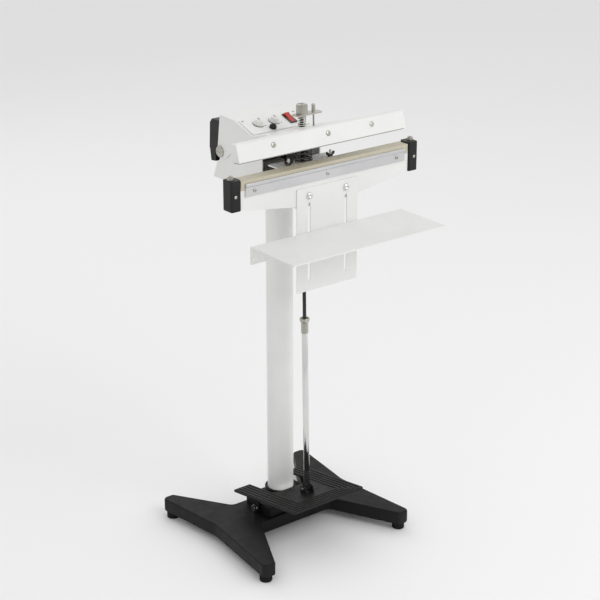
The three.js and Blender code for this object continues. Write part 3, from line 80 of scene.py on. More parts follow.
SIDES = (("left", -1), ("right", 1))
Profile = list[tuple[float, float]]


# ---------- finishes ----------


class Grain(Enum):
    """How the fine relief of a surface runs."""

    EVEN = "even"
    ALONG_X = "along_x"
    ALONG_Z = "along_z"
    ROUND_Z = "round_z"
    WEAVE = "weave"
    LAMINATED = "laminated"


@dataclass(frozen=True)
class Finish:
    """A surface finish that is built as a node material.

    Args:
        name: The material's name.
        colour: Main colour, linear RGB.
        shade: Colour that the main one drifts towards in patches.
        roughness: Lowest and highest roughness.
        relief: Height of the fine relief, in metres.
        relief_scale: Cells of relief per metre.
        metallic: 1 for bare metal and 0 for the rest.
        coat: Weight of a clear coat.
        grain: How the relief runs.
        gleam: Specular level of the bare surface.
        wear: Strength of the lighter tone along raised edges.
    """

    name: str
    colour: tuple[float, float, float]
    shade: tuple[float, float, float]
    roughness: tuple[float, float] = (0.35, 0.45)
    relief: float = 0.00003
    relief_scale: float = 900.0
    metallic: float = 0.0
    coat: float = 0.0
    grain: Grain = Grain.EVEN
    gleam: float = 0.5
    wear: float = 0.0

    def material(self) -> bpy.types.Material:
        """Return this finish as a material, building it on first use."""
        known = bpy.data.materials.get(self.name)
        return known if known else self._build()

    def _build(self) -> bpy.types.Material:
        """Build the node material.

        Returns:
            The new material.
        """
        material = bpy.data.materials.new(self.name)
        material.use_nodes = True
        tree = material.node_tree
        shader = tree.nodes["Principled BSDF"]
        shader.inputs["Metallic"].default_value = self.metallic
        shader.inputs["Specular IOR Level"].default_value = self.gleam
        shader.inputs["Coat Weight"].default_value = self.coat
        shader.inputs["Coat Roughness"].default_value = 0.12
        place = tree.nodes.new("ShaderNodeTexCoord").outputs["Object"]
        patches = self._noise(tree, place, 14.0, 4.0)
        blend = tree.nodes.new("ShaderNodeMix")
        blend.data_type = "RGBA"
        blend.inputs[6].default_value = (*self.colour, 1.0)
        blend.inputs[7].default_value = (*self.shade, 1.0)
        tree.links.new(self._stretched(tree, patches, 0.35, 0.65), blend.inputs[0])
        colour = blend.outputs[2]
        relief = self._relief(tree, place)
        if self.wear:
            edge = tree.nodes.new("ShaderNodeNewGeometry").outputs["Pointiness"]
            colour = self._lightened(tree, colour, edge, (0.53, 0.6), self.wear)
        tree.links.new(colour, shader.inputs["Base Color"])
        smudges = self._noise(tree, place, 45.0, 3.0)
        tree.links.new(
            self._stretched(tree, smudges, 0.3, 0.7, self.roughness),
            shader.inputs["Roughness"],
        )
        bump = tree.nodes.new("ShaderNodeBump")
        bump.inputs["Strength"].default_value = 1.0
        bump.inputs["Distance"].default_value = self.relief
        tree.links.new(relief, bump.inputs["Height"])
        tree.links.new(bump.outputs["Normal"], shader.inputs["Normal"])
        return material

    def _noise(
        self,
        tree: bpy.types.NodeTree,
        place: bpy.types.NodeSocket,
        scale: float,
        detail: float,
    ) -> bpy.types.NodeSocket:
        """Add a noise of a scale per metre.

        Args:
            tree: The material's nodes.
            place: Where the noise is read.
            scale: Cells per metre.
            detail: Octaves of finer noise.

        Returns:
            The noise's value.
        """
        noise = tree.nodes.new("ShaderNodeTexNoise")
        noise.inputs["Scale"].default_value = scale
        noise.inputs["Detail"].default_value = detail
        tree.links.new(place, noise.inputs["Vector"])
        return noise.outputs["Fac"]

    def _relief(
        self, tree: bpy.types.NodeTree, place: bpy.types.NodeSocket
    ) -> bpy.types.NodeSocket:
        """Add the fine relief that this finish's grain asks for.

        Args:
            tree: The material's nodes.
            place: Where the relief is read.

        Returns:
            The relief's height.
        """
        squeeze = {
            Grain.ALONG_X: (0.02, 1.0, 1.0),
            Grain.ALONG_Z: (1.0, 1.0, 0.02),
            Grain.ROUND_Z: (0.05, 0.05, 1.0),
        }.get(self.grain, (1.0, 1.0, 1.0))
        mapping = tree.nodes.new("ShaderNodeMapping")
        mapping.inputs["Scale"].default_value = squeeze
        tree.links.new(place, mapping.inputs["Vector"])
        if self.grain in (Grain.WEAVE, Grain.LAMINATED):
            return self._bands(tree, mapping.outputs["Vector"])
        return self._noise(tree, mapping.outputs["Vector"], self.relief_scale, 3.0)

    def _bands(
        self, tree: bpy.types.NodeTree, place: bpy.types.NodeSocket
    ) -> bpy.types.NodeSocket:
        """Add one set of bands for laminations, or two crossed sets for a weave.

        Args:
            tree: The material's nodes.
            place: Where the bands are read.

        Returns:
            The bands' height.
        """
        ways = ("X", "Y", "Z") if self.grain is Grain.WEAVE else ("X",)
        height = None
        for way in ways:
            wave = tree.nodes.new("ShaderNodeTexWave")
            wave.bands_direction = way
            wave.inputs["Scale"].default_value = self.relief_scale
            tree.links.new(place, wave.inputs["Vector"])
            if height is None:
                height = wave.outputs["Fac"]
                continue
            both = tree.nodes.new("ShaderNodeMath")
            both.operation = "ADD"
            tree.links.new(height, both.inputs[0])
            tree.links.new(wave.outputs["Fac"], both.inputs[1])
            height = both.outputs[0]
        return height

    def _stretched(
        self,
        tree: bpy.types.NodeTree,
        value: bpy.types.NodeSocket,
        low: float,
        high: float,
        to: tuple[float, float] = (0.0, 1.0),
    ) -> bpy.types.NodeSocket:
        """Stretch a value's range.

        Args:
            tree: The material's nodes.
            value: The value to stretch.
            low: Value that becomes the lowest.
            high: Value that becomes the highest.
            to: The lowest and the highest result.

        Returns:
            The stretched value.
        """
        ramp = tree.nodes.new("ShaderNodeMapRange")
        ramp.inputs["From Min"].default_value = low
        ramp.inputs["From Max"].default_value = high
        ramp.inputs["To Min"].default_value = to[0]
        ramp.inputs["To Max"].default_value = to[1]
        tree.links.new(value, ramp.inputs["Value"])
        return ramp.outputs["Result"]

    def _lightened(
        self,
        tree: bpy.types.NodeTree,
        colour: bpy.types.NodeSocket,
        mask: bpy.types.NodeSocket,
        span: tuple[float, float],
        strength: float,
    ) -> bpy.types.NodeSocket:
        """Lighten a colour where a mask is high.

        Args:
            tree: The material's nodes.
            colour: The colour to lighten.
            mask: Where it gets lighter.
            span: The mask's values from which and up to which it gets lighter.
            strength: How much lighter it gets.

        Returns:
            The lightened colour.
        """
        lighter = tree.nodes.new("ShaderNodeMix")
        lighter.data_type = "RGBA"
        lighter.inputs[7].default_value = (0.55, 0.55, 0.53, 1.0)
        tree.links.new(self._stretched(tree, mask, *span, (0.0, strength)), lighter.inputs[0])
        tree.links.new(colour, lighter.inputs[6])
        return lighter.outputs[2]


WHITE_PAINT = Finish(
    "white_powder_coat", (0.80, 0.80, 0.785), (0.775, 0.775, 0.76), (0.3, 0.38), 0.00002, 700, gleam=0.35
)
CAST_PAINT = Finish(
    "black_cast_iron_paint", (0.006, 0.007, 0.006), (0.009, 0.010, 0.009), (0.42, 0.55), 0.00008, 420,
    wear=0.04, gleam=0.16,
)  # fmt: skip
TREAD_PAINT = Finish(
    "black_tread_paint", (0.007, 0.008, 0.007), (0.011, 0.012, 0.011), (0.45, 0.58), 0.00006, 520,
    wear=0.06, gleam=0.18,
)  # fmt: skip
BLACK_PAINT = Finish(
    "black_enamel", (0.012, 0.012, 0.012), (0.02, 0.02, 0.02), (0.3, 0.42), gleam=0.35
)
FOOT_RUBBER = Finish(
    "foot_rubber_finish", (0.010, 0.010, 0.010), (0.016, 0.016, 0.016), (0.55, 0.7), 0.00001, 600, gleam=0.08
)
CHROME = Finish(
    "polished_chrome", (0.74, 0.74, 0.73), (0.68, 0.68, 0.67), (0.07, 0.16), 0.000006, 500,
    metallic=1.0, grain=Grain.ROUND_Z,
)  # fmt: skip
ZINC = Finish(
    "zinc_plated_steel", (0.56, 0.55, 0.50), (0.44, 0.43, 0.38), (0.22, 0.4), 0.00001, 900, metallic=1.0
)
DARK_STEEL = Finish(
    "dark_steel_finish", (0.11, 0.11, 0.105), (0.07, 0.07, 0.066), (0.3, 0.5), 0.00002, 700, metallic=1.0
)
SPRING_STEEL = Finish(
    "spring_steel", (0.20, 0.195, 0.18), (0.13, 0.125, 0.12), (0.25, 0.4), 0.00001, 900, metallic=1.0
)
ALUMINIUM = Finish(
    "brushed_aluminium", (0.66, 0.66, 0.67), (0.61, 0.61, 0.62), (0.3, 0.38), 0.000006, 2400,
    metallic=1.0, grain=Grain.ALONG_X,
)  # fmt: skip
COATED_CLOTH = Finish(
    "coated_glass_cloth", (0.50, 0.46, 0.35), (0.56, 0.52, 0.41), (0.38, 0.55), 0.00005, 380,
    grain=Grain.WEAVE,
)  # fmt: skip
SILICONE = Finish("silicone_rubber", (0.42, 0.42, 0.40), (0.36, 0.36, 0.34), (0.6, 0.75), 0.00003, 800)
BLACK_PLASTIC = Finish(
    "black_moulded_plastic", (0.008, 0.008, 0.008), (0.012, 0.012, 0.012), (0.36, 0.48), 0.00004, 1500,
    gleam=0.3,
)  # fmt: skip
GLOSS_BLACK = Finish(
    "black_gloss_plastic", (0.008, 0.008, 0.008), (0.012, 0.012, 0.012), (0.14, 0.22), 0.000006, 900,
    coat=0.4,
)  # fmt: skip
WHITE_PLASTIC = Finish(
    "white_gloss_plastic", (0.82, 0.82, 0.80), (0.78, 0.78, 0.76), (0.2, 0.3), 0.000008, 900, coat=0.3
)
RED_PLASTIC = Finish(
    "red_gloss_plastic", (0.52, 0.022, 0.008), (0.44, 0.016, 0.006), (0.15, 0.25), 0.000008, 900,
    coat=0.5,
)  # fmt: skip
PRINT_INK = Finish("black_print", (0.02, 0.02, 0.02), (0.03, 0.03, 0.03), (0.4, 0.5), 0.000005, 900)
BAKELITE = Finish(
    "insulating_board_finish", (0.13, 0.07, 0.03), (0.17, 0.09, 0.04), (0.5, 0.65), 0.00004, 900,
    grain=Grain.ALONG_X,
)  # fmt: skip
RIBBON = Finish(
    "resistance_ribbon", (0.45, 0.44, 0.42), (0.38, 0.36, 0.34), (0.3, 0.4), 0.00001, 2000,
    metallic=1.0, grain=Grain.ALONG_X,
)  # fmt: skip
CIRCUIT_BOARD = Finish("circuit_board_finish", (0.015, 0.09, 0.04), (0.02, 0.12, 0.05), (0.3, 0.4))
LAMINATIONS = Finish(
    "transformer_laminations", (0.14, 0.13, 0.12), (0.09, 0.085, 0.08), (0.4, 0.55), 0.0002, 320,
    metallic=1.0, grain=Grain.LAMINATED,
)  # fmt: skip
WINDING_TAPE = Finish("winding_tape", (0.34, 0.33, 0.30), (0.28, 0.27, 0.24), (0.3, 0.4), 0.00006, 300)


# ---------- modelling moves ----------


def deselect() -> None:
    """Leave edit mode and deselect everything."""
    if bpy.context.object and bpy.context.object.mode != "OBJECT":
        bpy.ops.object.mode_set(mode="OBJECT")
    bpy.ops.object.select_all(action="DESELECT")


def take(obj: bpy.types.Object) -> bpy.types.Object:
    """Make one object the only selected and the active one.

    Args:
        obj: The object to work on.

    Returns:
        The same object.
    """
    deselect()
    obj.select_set(True)
    bpy.context.view_layer.objects.active = obj
    return obj


def edit(obj: bpy.types.Object, mode: str = "VERT") -> None:
    """Enter edit mode on one object with everything selected.

    Args:
        obj: The object to edit.
        mode: What is selected: VERT, EDGE or FACE.
    """
    take(obj)
    bpy.ops.object.mode_set(mode="EDIT")
    bpy.ops.mesh.select_mode(type=mode)
    bpy.ops.mesh.select_all(action="SELECT")


def settle(obj: bpy.types.Object, turn: Matrix = LEVEL) -> bpy.types.Object:
    """Put an object's place and turn into its mesh.

    Args:
        obj: The object to settle.
        turn: A last turn about the origin, into the row frame.

    Returns:
        The same object.
    """
    take(obj)
    obj.matrix_world = turn @ obj.matrix_world
    bpy.ops.object.transform_apply(location=True, rotation=True, scale=True)
    return obj


def apply_modifier(obj: bpy.types.Object, kind: str, **settings: object) -> bpy.types.Object:
    """Add a modifier and apply it.

    Args:
        obj: The object to change.
        kind: The modifier's type.
        **settings: The modifier's settings.

    Returns:
        The same object.
    """
    take(obj)
    modifier = obj.modifiers.new(kind.lower(), kind)
    for key, value in settings.items():
        setattr(modifier, key, value)
    bpy.ops.object.modifier_apply(modifier=modifier.name)
    return obj


def soften(
    obj: bpy.types.Object, width: float, segments: int = 2, angle: float = 32.0
) -> bpy.types.Object:
    """Round an object's sharp edges and shade it smooth between them.

    Args:
        obj: The object to soften.
        width: The rounding's width.
        segments: Steps across the rounding.
        angle: Edges sharper than this many degrees are rounded.

    Returns:
        The same object.
    """
    if width:
        apply_modifier(
            obj,
            "BEVEL",
            width=width,
            segments=segments,
            limit_method="ANGLE",
            angle_limit=math.radians(angle),
        )
    take(obj)
    bpy.ops.object.shade_smooth_by_angle(angle=math.radians(40))
    if width:
        apply_modifier(obj, "WEIGHTED_NORMAL", keep_sharp=True, weight=80)
    return obj


def join(*objects: bpy.types.Object) -> bpy.types.Object:
    """Join objects into the first one.

    Args:
        *objects: The objects to join.

    Returns:
        The first object.
    """
    take(objects[0])
    for other in objects[1:]:
        other.select_set(True)
    if len(objects) > 1:
        bpy.ops.object.join()
    return objects[0]


def carve(obj: bpy.types.Object, *tools: bpy.types.Object) -> bpy.types.Object:
    """Cut tools out of an object and throw them away.

    Args:
        obj: The object to cut.
        *tools: What is cut out of it.

    Returns:
        The same object.
    """
    for tool in tools:
        apply_modifier(obj, "BOOLEAN", operation="DIFFERENCE", object=tool, solver="EXACT")
        bpy.data.objects.remove(tool)
    return obj


def turned(name: str, profile: Profile, segments: int = 48) -> bpy.types.Object:
    """Spin a profile of (radius, height) points about Z.

    Args:
        name: The new object's name.
        profile: The points, each joined to the next.
        segments: Steps round the axis.

    Returns:
        The new object.
    """
    deselect()
    bpy.ops.mesh.primitive_plane_add(size=MM)
    obj = bpy.context.object
    obj.name = name
    edit(obj)
    bpy.ops.mesh.merge(type="CENTER")
    bpy.ops.transform.translate(value=(profile[0][0], 0, profile[0][1]))
    for (r0, z0), (r1, z1) in zip(profile, profile[1:]):
        bpy.ops.mesh.extrude_region_move(
            TRANSFORM_OT_translate={"value": (r1 - r0, 0, z1 - z0)}
        )
    bpy.ops.mesh.select_all(action="SELECT")
    bpy.ops.mesh.spin(steps=segments, angle=math.tau, center=(0, 0, 0), axis=(0, 0, 1))
    bpy.ops.mesh.select_all(action="SELECT")
    bpy.ops.mesh.remove_doubles(threshold=1e-6)
    bpy.ops.mesh.normals_make_consistent(inside=False)
    bpy.ops.object.mode_set(mode="OBJECT")
    return obj


def slab(name: str, low: Vector, high: Vector) -> bpy.types.Object:
    """Add a block between two corners.

    Args:
        name: The new object's name.
        low: The lowest corner.
        high: The highest corner.

    Returns:
        The new object.
    """
    deselect()
    bpy.ops.mesh.primitive_cube_add(size=1, location=(low + high) / 2, scale=high - low)
    obj = bpy.context.object
    obj.name = name
    return settle(obj)


def helix(
    name: str, radius: float, wire: float, bottom: float, top: float, turns: int
) -> bpy.types.Object:
    """Sweep a round wire up a helix about Z, with a closed turn at each end.

    Args:
        name: The new object's name.
        radius: From the axis to the middle of the wire.
        wire: The wire's radius.
        bottom: Height of the coil's foot.
        top: Height of the coil's top.
        turns: Open turns.

    Returns:
        The new object.
    """
    closed_rise = 2 * wire * 1.02
    parts = []
    start = bottom + wire
    spans = (
        (start, closed_rise),
        (start + closed_rise, top - bottom - 2 * wire - 2 * closed_rise),
        (top - wire - closed_rise, closed_rise),
    )
    for (height, rise), coils in zip(spans, (1, turns, 1)):
        deselect()
        bpy.ops.mesh.primitive_circle_add(
            vertices=12, radius=wire, location=(radius, 0, height), rotation=(math.pi / 2, 0, 0)
        )
        part = settle(bpy.context.object)
        apply_modifier(
            part, "SCREW", angle=math.tau * coils, screw_offset=rise, steps=28 * coils,
            render_steps=28 * coils, use_merge_vertices=False,
        )  # fmt: skip
        parts.append(part)
    obj = join(*parts)
    obj.name = name
    edit(obj)
    bpy.ops.mesh.remove_doubles(threshold=2e-5)
    bpy.ops.mesh.select_all(action="DESELECT")
    bpy.ops.mesh.select_non_manifold()
    bpy.ops.mesh.fill_holes(sides=0)
    bpy.ops.mesh.select_all(action="SELECT")
    bpy.ops.mesh.normals_make_consistent(inside=False)
    bpy.ops.object.mode_set(mode="OBJECT")
    return soften(obj, 0)


def ribbed(
    obj: bpy.types.Object, radius: float, low: float, high: float, height: float
) -> bpy.types.Object:
    """Raise every other side face of a turned piece, as a straight knurl.

    Args:
        obj: The turned piece.
        radius: Radius of the side that is knurled.
        low: Lowest height of the knurl.
        high: Highest height of the knurl.
        height: How far the ribs stand out.

    Returns:
        The same object.
    """
    take(obj)
    side = [
        face
        for face in obj.data.polygons
        if low < face.center.z < high
        and abs(face.normal.z) < 0.1
        and abs(face.center.xy.length - radius) < 0.05 * radius
        and face.normal.xy.dot(face.center.xy) > 0
    ]
    side.sort(key=lambda face: math.atan2(face.center.y, face.center.x))
    for polygon in obj.data.polygons:
        polygon.select = False
    for face in side[::2]:
        face.select = True
    bpy.ops.object.mode_set(mode="EDIT")
    bpy.ops.mesh.select_mode(type="FACE")
    bpy.ops.mesh.inset(thickness=0.15 * MM, depth=height, use_individual=True)
    bpy.ops.object.mode_set(mode="OBJECT")
    return obj


def copy_of(obj: bpy.types.Object, name: str) -> bpy.types.Object:
    """Copy an object together with its mesh.

    Args:
        obj: The object to copy.
        name: The copy's name.

    Returns:
        The copy.
    """
    twin = bpy.data.objects.new(name, obj.data.copy())
    bpy.context.scene.collection.objects.link(twin)
    twin.matrix_world = obj.matrix_world
    return twin


def box_in(node: str, turn: Matrix) -> tuple[Vector, Vector]:
    """Measure a CAD node in a turned frame.

    Args:
        node: The CAD node.
        turn: Turns the frame's axes into the row frame's.

    Returns:
        The lowest and the highest corner in the turned frame.
    """
    back = turn.inverted()
    points = [back @ vertex.co for vertex in bpy.data.objects[node].data.vertices]
    low = Vector(min(p[i] for p in points) for i in range(3))
    high = Vector(max(p[i] for p in points) for i in range(3))
    return low, high


def along(direction: Vector) -> Matrix:
    """Work out the turn that takes +Z to a direction.

    Args:
        direction: Where +Z should point.

    Returns:
        The turn.
    """
    return direction.to_track_quat("Z", "Y").to_matrix().to_4x4()


@dataclass
class SubAssembly:
    """Pieces that move together on one CAD body.

    Args:
        body: The CAD body that the pieces ride on.
    """

    frame: dict
    body: str

    def keep(
        self,
        obj: bpy.types.Object,
        finish: Finish,
        *nodes: str,
        body: str = "",
        turn: Matrix = LEVEL,
    ) -> bpy.types.Object:
        """Dress a finished piece and hang it on its body.

        Args:
            obj: The finished piece.
            finish: Its surface.
            *nodes: The CAD nodes that it stands for.
            body: Its body, if that isn't the sub-assembly's own.
            turn: A last turn about the origin, into the row frame.

        Returns:
            The same piece.
        """
        settle(obj, turn)
        if not obj.data.materials:
            obj.data.materials.append(finish.material())
        if nodes:
            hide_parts(*nodes)
        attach(obj, body or self.body)
        LOG.info("%s: %d faces on %s", obj.name, len(obj.data.polygons), body or self.body)
        return obj

    def from_node(
        self, node: str, finish: Finish, rounding: float, segments: int = 2, angle: float = 32.0
    ) -> bpy.types.Object:
        """Work a copy of a CAD node up into a finished piece.

        Args:
            node: The CAD node.
            finish: The piece's surface.
            rounding: Width of its edges' rounding.
            segments: Steps across the rounding.
            angle: Edges sharper than this many degrees are rounded.

        Returns:
            The new piece.
        """
        obj = self.merged_copy(node)
        soften(obj, rounding, segments, angle)
        return self.keep(obj, finish, node)

    def merged_copy(self, node: str) -> bpy.types.Object:
        """Copy a CAD node and merge its loose triangles into flat faces.

        Args:
            node: The CAD node.

        Returns:
            The copy.
        """
        obj = copy_of(self.frame["nodes"][node], f"{node}_body")
        obj.matrix_world = Matrix.Identity(4)
        obj.data.materials.clear()
        edit(obj)
        bpy.ops.mesh.remove_doubles(threshold=2e-6)
        bpy.ops.mesh.dissolve_limited(angle_limit=math.radians(0.5))
        bpy.ops.object.mode_set(mode="OBJECT")
        return obj

    def dress_node(self, node: str, finish: Finish) -> None:
        """Give a CAD node that stays as it is a finish.

        Args:
            node: The CAD node.
            finish: Its surface.
        """
        obj = self.frame["nodes"][node]
        obj.data.materials.clear()
        obj.data.materials.append(finish.material())
        LOG.info("%s: CAD node kept", node)

    def screw_in(
        self, master: bpy.types.Object, node: str, metal: str, head: float, finish: Finish
    ) -> None:
        """Put a copy of a screw in at the left and the right, its head to the front.

        Args:
            master: The screw with its seat at the origin; it is removed.
            node: The CAD nodes' name without its side.
            metal: Last word of the copies' names.
            head: The head's height.
            finish: The screws' surface.
        """
        for side in ("left", "right"):
            low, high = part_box(f"{node}_{side}")
            screw = copy_of(master, f"{node}_{side}_{metal}")
            seat = Vector(((low.x + high.x) / 2, low.y + head, (low.z + high.z) / 2))
            screw.matrix_world = Matrix.Translation(seat) @ along(Vector((0, -1, 0)))
            self.keep(screw, finish, f"{node}_{side}")
        bpy.data.objects.remove(master)


def with_nut(screw: bpy.types.Object, radius: float, depth: float, length: float) -> bpy.types.Object:
    """Run a hexagon nut onto the end of a screw.

    Args:
        screw: The screw with its head's seat at the origin.
        radius: The nut's radius across its corners.
        depth: The nut's depth.
        length: The shank's length.

    Returns:
        The screw with its nut.
    """
    deselect()
    place = (0, 0, -length + depth / 2 + 0.6 * MM)
    bpy.ops.mesh.primitive_cylinder_add(vertices=6, radius=radius, depth=depth, location=place)
    return join(screw, soften(settle(bpy.context.object), 0.4 * MM, 2, 40))


def cross_head(name: str, radius: float, height: float, shank: float, length: float) -> bpy.types.Object:
    """Model a pan-head screw with a cross recess, its head's seat at the origin.

    Args:
        name: The new object's name.
        radius: The head's radius.
        height: The head's height.
        shank: The shank's radius.
        length: The shank's length.

    Returns:
        The new object.
    """
    obj = turned(
        name,
        [
            (0, -length),
            (shank * 0.8, -length),
            (shank, -length + shank * 0.4),
            (shank, 0),
            (radius, 0),
            (radius, height * 0.35),
            (radius * 0.92, height * 0.62),
            (radius * 0.7, height * 0.86),
            (radius * 0.38, height * 0.97),
            (0, height),
        ],
    )
    arm = radius * 0.52
    wide = radius * 0.13
    deep = height * 0.45
    tools = [
        slab("recess_along", Vector((-arm, -wide, deep)), Vector((arm, wide, height * 2))),
        slab("recess_across", Vector((-wide, -arm, deep)), Vector((wide, arm, height * 2))),
    ]
    carve(obj, *tools)
    return soften(obj, 0.08 * MM, 2, 50)


def socket_head(name: str, radius: float, height: float, shank: float, length: float) -> bpy.types.Object:
    """Model a button-head bolt with a hexagon socket, its head's seat at the origin.

    Args:
        name: The new object's name.
        radius: The head's radius.
        height: The head's height.
        shank: The shank's radius.
        length: The shank's length.

    Returns:
        The new object.
    """
    dome = [
        (radius * math.cos(a), height * (0.22 + 0.78 * math.sin(a)))
        for a in [math.radians(d) for d in (0, 15, 30, 45, 60, 70)]
    ]
    obj = turned(name, [(0, -length), (shank, -length), (shank, 0), (radius, 0), *dome, (0, height)])
    deselect()
    bpy.ops.mesh.primitive_cylinder_add(
        vertices=6, radius=radius * 0.42, depth=height, location=(0, 0, height * 0.95)
    )
    carve(obj, settle(bpy.context.object))
    return soften(obj, 0.12 * MM, 2, 50)


# ---------- stand ----------


@dataclass
class Stand(SubAssembly):
    """The casting on its feet, the column and the pedal's pivot bolts."""

    casting_rounding: float = 1.6 * MM
    foot_groove: float = 0.8 * MM
    column_segments: int = 96
    column_radius: float = 29 * MM
    column_wall: float = 2 * MM
    flange_thickness: float = 5 * MM
    flange_corner: float = 8 * MM

    def build(self) -> None:
        """Build every piece of the stand."""
        self.from_node("base_casting", CAST_PAINT, self.casting_rounding, 3, 40)
        self.feet()
        self.column()
        self.pivot_bolts()

    def feet(self) -> None:
        """Turn one grooved rubber foot and copy it under each leg."""
        low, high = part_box("foot_front_left")
        radius = (high.x - low.x) / 2
        top = high.z
        groove = self.foot_groove
        master = turned(
            "foot_master",
            [
                (0, 1 * MM),
                (radius * 0.55, 1 * MM),
                (radius * 0.6, 0),
                (radius - 1.6 * MM, 0),
                (radius - 0.5 * MM, 0.5 * MM),
                (radius, 1.6 * MM),
                (radius, top * 0.4),
                (radius - groove, top * 0.4 + groove),
                (radius - groove, top * 0.4 + 2 * groove),
                (radius, top * 0.4 + 3 * groove),
                (radius, top - 3 * MM),
                (radius - 1 * MM, top),
                (0, top),
            ],
            64,
        )
        soften(master, 0.25 * MM, 2, 30)
        for row in ("front", "rear"):
            for side in ("left", "right"):
                node = f"foot_{row}_{side}"
                foot = copy_of(master, f"{node}_rubber")
                node_low, node_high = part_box(node)
                foot.location = ((node_low.x + node_high.x) / 2, (node_low.y + node_high.y) / 2, 0)
                self.keep(foot, FOOT_RUBBER, node)
        bpy.data.objects.remove(master)

    def column(self) -> None:
        """Turn the column's tube and weld its square flange and fillet on top."""
        low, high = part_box("column_tube")
        centre = (low + high) / 2
        radius, wall, flange = self.column_radius, self.column_wall, self.flange_thickness
        bottom = low.z - centre.z
        top = high.z - centre.z
        tube = turned(
            "column_tube_steel",
            [
                (radius - wall, bottom),
                (radius, bottom),
                (radius, top - flange - 4 * MM),
                (radius + 0.6 * MM, top - flange - 2.4 * MM),
                (radius + 3 * MM, top - flange - 0.2 * MM),
                (radius + 3 * MM, top - flange + 1 * MM),
                (radius - wall, top - flange + 1 * MM),
                (radius - wall, bottom),
            ],
            self.column_segments,
        )
        half = Vector((high.x - centre.x, high.y - centre.y, 0))
        plate = slab(
            "column_plate",
            Vector((-half.x, -half.y, top - flange)),
            Vector((half.x, half.y, top)),
        )
        deselect()
        bpy.ops.mesh.primitive_cylinder_add(vertices=64, radius=radius - wall, depth=60 * MM)
        bore = bpy.context.object
        bore.location.z = top
        carve(plate, settle(bore))
        self.round_corners(plate, self.flange_corner)
        soften(tube, 0)
        soften(plate, 0.5 * MM, 2, 50)
        column = join(tube, plate)
        column.location = centre
        self.keep(column, WHITE_PAINT, "column_tube")

    def round_corners(self, plate: bpy.types.Object, radius: float) -> None:
        """Round a plate's upright edges.

        Args:
            plate: The plate.
            radius: The corners' radius.
        """
        edit(plate, "EDGE")
        bpy.ops.mesh.select_all(action="DESELECT")
        bpy.ops.object.mode_set(mode="OBJECT")
        reach = max(vertex.co.xy.length for vertex in plate.data.vertices)
        for line in plate.data.edges:
            a, b = (plate.data.vertices[i].co for i in line.vertices)
            upright = abs(a.z - b.z) > 1 * MM
            line.select = upright and a.xy.length > 0.95 * reach
        bpy.ops.object.mode_set(mode="EDIT")
        bpy.ops.mesh.bevel(offset=radius, segments=8)
        bpy.ops.object.mode_set(mode="OBJECT")

    def pivot_bolts(self) -> None:
        """Put a copy of the hexagon bolt in each of the pedal's ears."""
        low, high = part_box("pedal_pivot_bolt_right")
        master = self.pivot_bolt(high.x - low.x)
        for side, sign in SIDES:
            node = f"pedal_pivot_bolt_{side}"
            centre = sum(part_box(node), Vector()) / 2
            bolt = copy_of(master, f"pedal_bolt_{side}")
            seat = Vector((sign * low.x, centre.y, centre.z))
            bolt.matrix_world = Matrix.Translation(seat) @ along(Vector((sign, 0, 0)))
            self.keep(bolt, CHROME, node)
        bpy.data.objects.remove(master)

    def pivot_bolt(self, length: float) -> bpy.types.Object:
        """Model a hexagon bolt with its washer.

        Args:
            length: From the shank's end to the head's top.

        Returns:
            The bolt, with its shank's end at the origin.
        """
        deselect()
        bpy.ops.mesh.primitive_cylinder_add(
            vertices=6, radius=8 * MM, depth=5.2 * MM, location=(0, 0, length - 2.7 * MM)
        )
        head = settle(bpy.context.object)
        chamfer = turned(
            "chamfer",
            [(0, length - 8 * MM), (8.6 * MM, length - 8 * MM), (8.6 * MM, length - 1.4 * MM),
             (6.8 * MM, length), (0, length)],
        )  # fmt: skip
        apply_modifier(head, "BOOLEAN", operation="INTERSECT", object=chamfer, solver="EXACT")
        bpy.data.objects.remove(chamfer)
        soften(head, 0.2 * MM, 2, 40)
        washer = turned(
            "washer",
            [(0, 0), (4 * MM, 0), (4 * MM, length - 7 * MM), (8.3 * MM, length - 7 * MM),
             (8.5 * MM, length - 6.7 * MM), (8.5 * MM, length - 5.6 * MM),
             (8.3 * MM, length - 5.3 * MM), (0, length - 5.3 * MM)],
        )  # fmt: skip
        return join(head, soften(washer, 0))


# ---------- pedal ----------


@dataclass
class Pedal(SubAssembly):
    """The ribbed foot pedal and the pin that its lugs carry."""

    edge: float = 0.5 * MM

    def build(self) -> None:
        """Build the pedal and its pin."""
        self.from_node("pedal", TREAD_PAINT, self.edge, 2, 30)
        low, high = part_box("clevis_pin")
        centre = (low + high) / 2
        half = (high.x - low.x) / 2
        pin = turned(
            "clevis_pin_steel",
            [
                (0, -half),
                (2.5 * MM, -half),
                (3 * MM, -half + 0.5 * MM),
                (3 * MM, half - 2.4 * MM),
                (4.7 * MM, half - 2.3 * MM),
                (5 * MM, half - 2 * MM),
                (5 * MM, half - 0.6 * MM),
                (4.4 * MM, half),
                (0, half),
            ],
            40,
        )
        soften(pin, 0)
        pin.matrix_world = Matrix.Translation(centre) @ along(Vector((1, 0, 0)))
        self.keep(pin, ZINC, "clevis_pin")


# ---------- pull rod ----------


